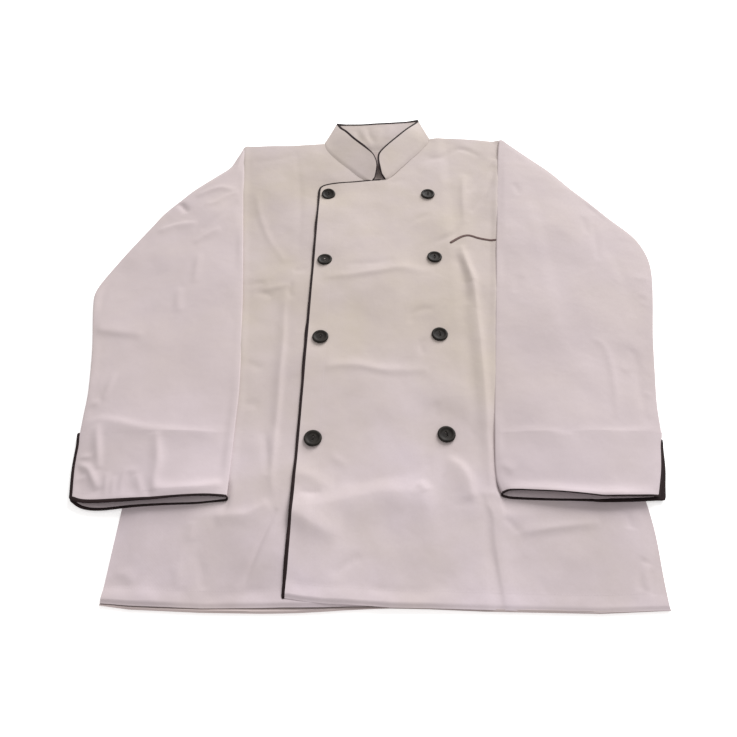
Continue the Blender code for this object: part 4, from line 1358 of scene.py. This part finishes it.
def collar_piping():
    """Along the whole top edge and down both rounded front ends."""
    top = band[:, -1]
    first_end, last_end = band[0, 3:-1], band[-1, 3:-1][::-1]
    path = np.vstack([first_end, top, last_end])
    inner = np.vstack([band[1, 3:-1], band[:, -2], band[-2, 3:-1][::-1]])
    out = unit(path - inner)
    stride = np.linalg.norm(np.diff(path, axis=0), axis=1)
    width = np.interp(walked(stride) / stride.sum(), *zip(*COLLAR_PIPING))
    path = path + out * (width[:, None] / 2 - OVERLAP)
    return strip("collar_piping", path, out, width, PIPING_HEIGHT, PIPING_CLOTH, 2.2)


collar_edge = collar_piping()
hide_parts("collar_right", "collar_left", "collar_back")
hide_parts("collar_right_piping", "collar_left_piping", "collar_back_piping")
for made, slot in ((collar, "cloth"), (collar_edge, "piping")):
    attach(made, "root")

# %% [markdown]
# ## Chest pocket
#
# A small pocket sits on the wearer's left chest, mostly under the folded sleeve. Only its piped
# mouth stands out; the patch below it is pressed flat, so it follows every fold of the front.

# %% Pocket patch and its piped mouth
POCKET_LIFT = 0.22
POCKET_SINK = 0.14     # how far its rim goes under the face of the front
POCKET_RIM = 18        # width of that rim
POCKET_ROWS = 46
POCKET_CLOTH = 0.6

mouth = curve(POCKET_MOUTH, 6)


def pocket_height(x, y):
    """Face of the patch, which lies on every fold of the front."""
    return over_height(x, y) + POCKET_LIFT


def pocket_patch():
    """The patch from its piped mouth down; its rim sinks into the front, as if sewn."""
    line = even(mouth, 2.5)
    t = np.linspace(0, 1, POCKET_ROWS)[:, None]
    x = line[:, 0] + 0 * t
    y = POCKET_BOTTOM_Y + t * (line[:, 1] - POCKET_BOTTOM_Y)
    from_side = np.minimum(x - POCKET_CORNER[0], POCKET_MOUTH[-1][0] - x)
    rim = np.minimum(from_side, y - POCKET_BOTTOM_Y)
    z = pocket_height(x, y) - (POCKET_LIFT + POCKET_SINK) * (1 - ramp(0, POCKET_RIM, rim))
    return cloth(grid_object("pocket", np.stack([x, y, z], axis=-1), TWILL), POCKET_CLOTH)


def pocket_piping():
    """The strip along the mouth, where the black is worn to brown."""
    line = even(mouth, 2.0)
    out = sideways(line, 1)
    path = np.column_stack([line, pocket_height(line[:, 0], line[:, 1]) - 0.1]) + out * 0.9
    return strip("pocket_piping_strip", path, out, 4.0, 1.6, WORN_PIPING, 2.0)


pocket, pocket_edge = pocket_patch(), pocket_piping()
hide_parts("pocket_patch")
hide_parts("pocket_piping")
for made, slot in ((pocket, "cloth"), (pocket_edge, "piping")):
    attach(made, "root")
    print(made.name, len(made.data.polygons), "faces")

# %% [markdown]
# ## Buttons
#
# Eight dark 21 mm buttons in two columns. Each is turned: a rounded rim round a sunken face,
# with a long eye-shaped slot and two holes where the thread goes through. A lathe profile and
# a Screw modifier make the disc; the slot and the holes are cut with Booleans. These list their
# corners and faces in another order on each run, so both are sorted by place afterwards.

# %% Turn one button
BUTTON_PROFILE = [(0.0, 2.2), (4.6, 2.2), (5.8, 2.35), (6.7, 2.8), (7.5, 3.35), (8.4, 3.6),
                  (9.2, 3.55), (9.9, 3.15), (10.35, 2.5), (10.5, 1.8), (10.2, 0.9),
                  (9.3, 0.25), (7.8, 0.0), (0.0, 0.0)]   # radius, height
EYE_HALF_LENGTH = 4.6
EYE_HALF_WIDTH = 1.55
EYE_DEPTH = 1.0
EYE_Z = 2.3
HOLE_AT = 2.2
HOLE_RADIUS = 0.95
TURN_STEPS = 64
PLAN_BUTTON_Z = 2 * LAYER + CLOTH + GAP
SEWN_TIGHT = 0.8       # the thread draws each button down into the cloth


def button_blank():
    """The profile, turned once round."""
    profile = curve(BUTTON_PROFILE[1:-1], 3)
    profile = np.vstack([[BUTTON_PROFILE[0]], profile, [BUTTON_PROFILE[-1]]])
    bm = bmesh.new()
    ring = [bm.verts.new((r * MM, 0, z * MM)) for r, z in profile]
    for a, b in zip(ring, ring[1:]):
        bm.edges.new((a, b))
    mesh = bpy.data.meshes.new("button_blank")
    bm.to_mesh(mesh)
    bm.free()
    blank = bpy.data.objects.new("button_blank", mesh)
    SCENE.collection.objects.link(blank)
    screw = blank.modifiers.new("turn", "SCREW")
    screw.steps = screw.render_steps = TURN_STEPS
    screw.use_merge_vertices = True
    screw.merge_threshold = 0.00001
    return blank


def button_cutters():
    """What is cut away: the eye-shaped slot, and a hole at each end of it."""
    bpy.ops.mesh.primitive_uv_sphere_add(segments=36, ring_count=18, radius=1)
    eye = bpy.context.object
    eye.scale = (EYE_HALF_WIDTH * MM, EYE_HALF_LENGTH * MM, EYE_DEPTH * MM)
    eye.location = (0, 0, EYE_Z * MM)
    cutters = [eye]
    for end in (-1, 1):
        bpy.ops.mesh.primitive_cylinder_add(vertices=20, radius=HOLE_RADIUS * MM, depth=8 * MM,
                                            location=(0, end * HOLE_AT * MM, 1.5 * MM))
        cutters.append(bpy.context.object)
    return cutters


def in_fixed_order(mesh, name):
    """The same mesh with its corners and faces in order of place, whatever order it came in."""
    spots = [tuple(axis + 0.0 for axis in corner.co) for corner in mesh.vertices]
    corners = sorted(set(spots))
    number = {spot: n for n, spot in enumerate(corners)}
    faces = [[number[spots[k]] for k in face.vertices] for face in mesh.polygons]
    made = bpy.data.meshes.new(name)
    made.from_pydata(corners, [], sorted(faces, key=sorted))
    return made


def turned_button():
    """One finished mesh, which all eight buttons share."""
    blank = button_blank()
    cutters = button_cutters()
    for cutter in cutters:
        cut = blank.modifiers.new("cut", "BOOLEAN")
        cut.operation = "DIFFERENCE"
        cut.object = cutter
    bpy.context.view_layer.update()
    cut_out = bpy.data.meshes.new_from_object(
        blank.evaluated_get(bpy.context.evaluated_depsgraph_get()))
    made = in_fixed_order(cut_out, "turned_button")
    print(len(cut_out.vertices), "corners cut,", len(made.vertices), "after sorting")
    bpy.data.meshes.remove(cut_out)
    for helper in [blank] + cutters:
        bpy.data.objects.remove(helper, do_unlink=True)
    made.materials.append(BUTTON_RESIN)
    made.shade_smooth()
    made.set_sharp_from_angle(angle=math.radians(38))
    return made


# %% Sew on the buttons
button_mesh = turned_button()
for name, x, y, turn, tilt in BUTTONS:
    button = bpy.data.objects.new(f"resin_button_{name}", button_mesh)
    SCENE.collection.objects.link(button)
    button.location = place((x, y, PLAN_BUTTON_Z - SEWN_TIGHT))
    button.rotation_euler = (math.radians(tilt), 0, math.radians(turn))
    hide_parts(f"button_{name}")
    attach(button, "root")
print(len(BUTTONS), "buttons of", len(button_mesh.polygons), "faces")

# %% [markdown]
# ## Stitches
#
# Lockstitch is a row of short threads that sink into the cloth at both ends. Here there is one
# every 3 mm, 2.4 mm long and 0.3 mm wide. Each is a small four-sided grain of thread, thin at its
# ends, and the stitches of several seams are joined into one mesh.

# %% Stitch maker
STITCH_LONG = 2.4
STITCH_PITCH = 3.0
STITCH_WIDE = 0.3
STITCH_FACES = 14          # three bands of four faces and two ends
SHORTEST_STITCH = 0.5
STITCH_SINK = 0.04
# share of the way along a stitch, share of its width, lift over the cloth
STITCH_SECTIONS = [(0.0, 0.25, -0.15), (0.3, 1.0, 0.05), (0.7, 1.0, 0.05), (1.0, 0.25, -0.15)]


def one_stitch(a, run, long, first):
    """Corners and faces of a stitch on the way from `a`; `first` is its first corner's number."""
    across = np.array([-run[1], run[0], 0.0])
    across /= max(np.linalg.norm(across), 1e-6)
    up = np.cross(run, across)
    verts = []
    for end, swell, lift in STITCH_SECTIONS:
        centre = a + run * (long - STITCH_LONG) / 2 + run * STITCH_LONG * end + up * lift
        for k in range(4):
            turn = math.pi / 2 * k
            verts.append(centre + (across * math.cos(turn) + up * math.sin(turn))
                         * STITCH_WIDE / 2 * swell)
    faces = []
    for ring in range(3):
        for k in range(4):
            p, q = first + ring * 4 + k, first + ring * 4 + (k + 1) % 4
            faces.append((p, q, q + 4, p + 4))
    faces.append((first + 3, first + 2, first + 1, first))
    faces.append((first + 12, first + 13, first + 14, first + 15))
    return verts, faces


def stitches(name, paths, look, pitch=STITCH_PITCH):
    """Rows of stitches along 3-D plan paths, joined in one mesh."""
    verts, faces = [], []
    for path in paths:
        marks = even(path, pitch, (1, 1, 1))
        for a, b in zip(marks, marks[1:]):
            long = np.linalg.norm(b - a)
            if long >= SHORTEST_STITCH:
                new_verts, new_faces = one_stitch(a, (b - a) / long, long, len(verts))
                verts += new_verts
                faces += new_faces
    mesh = bpy.data.meshes.new(name)
    mesh.from_pydata(place(np.array(verts)).tolist(), [], faces)
    mesh.shade_smooth()
    return add_object(name, mesh, look)


def on_cloth(x, y, height):
    """Plan points with their height on the cloth, a little sunk in, as a stitch is."""
    return np.column_stack([x, y, height(x, y) - STITCH_SINK])


# %% Stitch the seams
def hem_path(hem, height, start, stop):
    """Stitch line of a front's hem, which sits in the groove of its relief."""
    x = np.arange(start, stop, STITCH_PITCH)
    points = on_cloth(x, lookup(HEM, x, HEM_COLUMN[hem]) + HEM_FOLD, height)
    points[:, 2] += hem_relief(x, np.full(x.shape, HEM_FOLD))
    return points


stand_y = np.arange(12, STAND_TOP[0], STITCH_PITCH)
stand_path = on_cloth(front_edge_x(stand_y) + STAND_STITCH, stand_y, over_height)
seams = stitches("front_stitches",
                 [hem_path("under", under_height, -276, -101),
                  hem_path("over", over_height, -96, 275), stand_path], WHITE_THREAD)
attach(seams, "root")


def cuff_seam_path(side, edge_table, down):
    """Stitch line across a cuff's upper layer, at the share `down` from seam to edge."""
    upper = cuff_ring()[1:CUFF_ACROSS - 1]
    path = cuff_points(side, edge_table, upper, [down])[0]
    return path - [0, 0, 0.06]


cuff_stitches = stitches("cuff_stitches",
                         [cuff_seam_path(side, table, down)
                          for side, table in ((-1, RIGHT_CUFF_EDGE), (1, LEFT_CUFF_EDGE))
                          for down in (0.03, 0.90)], WHITE_THREAD)
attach(cuff_stitches, "root")
print("stitches:", (len(seams.data.polygons) + len(cuff_stitches.data.polygons)) // STITCH_FACES)

# %% Thread in the buttons
# share of the way from the middle of a button to a hole, height on the button
THREAD_ARC = [(-1, 1.2), (-0.4, 1.75), (0.4, 1.75), (1, 1.2)]
THREAD_APART = 0.3

thread_paths = []
for _, x, y, turn, _ in BUTTONS:
    a = math.radians(turn)
    along = np.array([-math.sin(a), math.cos(a)])
    across = np.array([math.cos(a), math.sin(a)])
    for shift in (-THREAD_APART, THREAD_APART):
        path = []
        for share, height in THREAD_ARC:
            spot = np.array([x, y]) + along * HOLE_AT * share + across * shift
            path.append((*spot, PLAN_BUTTON_Z - SEWN_TIGHT + height))
        thread_paths.append(np.array(path))
button_thread = stitches("button_thread", thread_paths, BLACK_THREAD, 1.6)
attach(button_thread, "root")

# %% [markdown]
# ## What was cut, and how big
# Last, the view layer is brought up to date.

# %% Finish
bpy.context.view_layer.update()
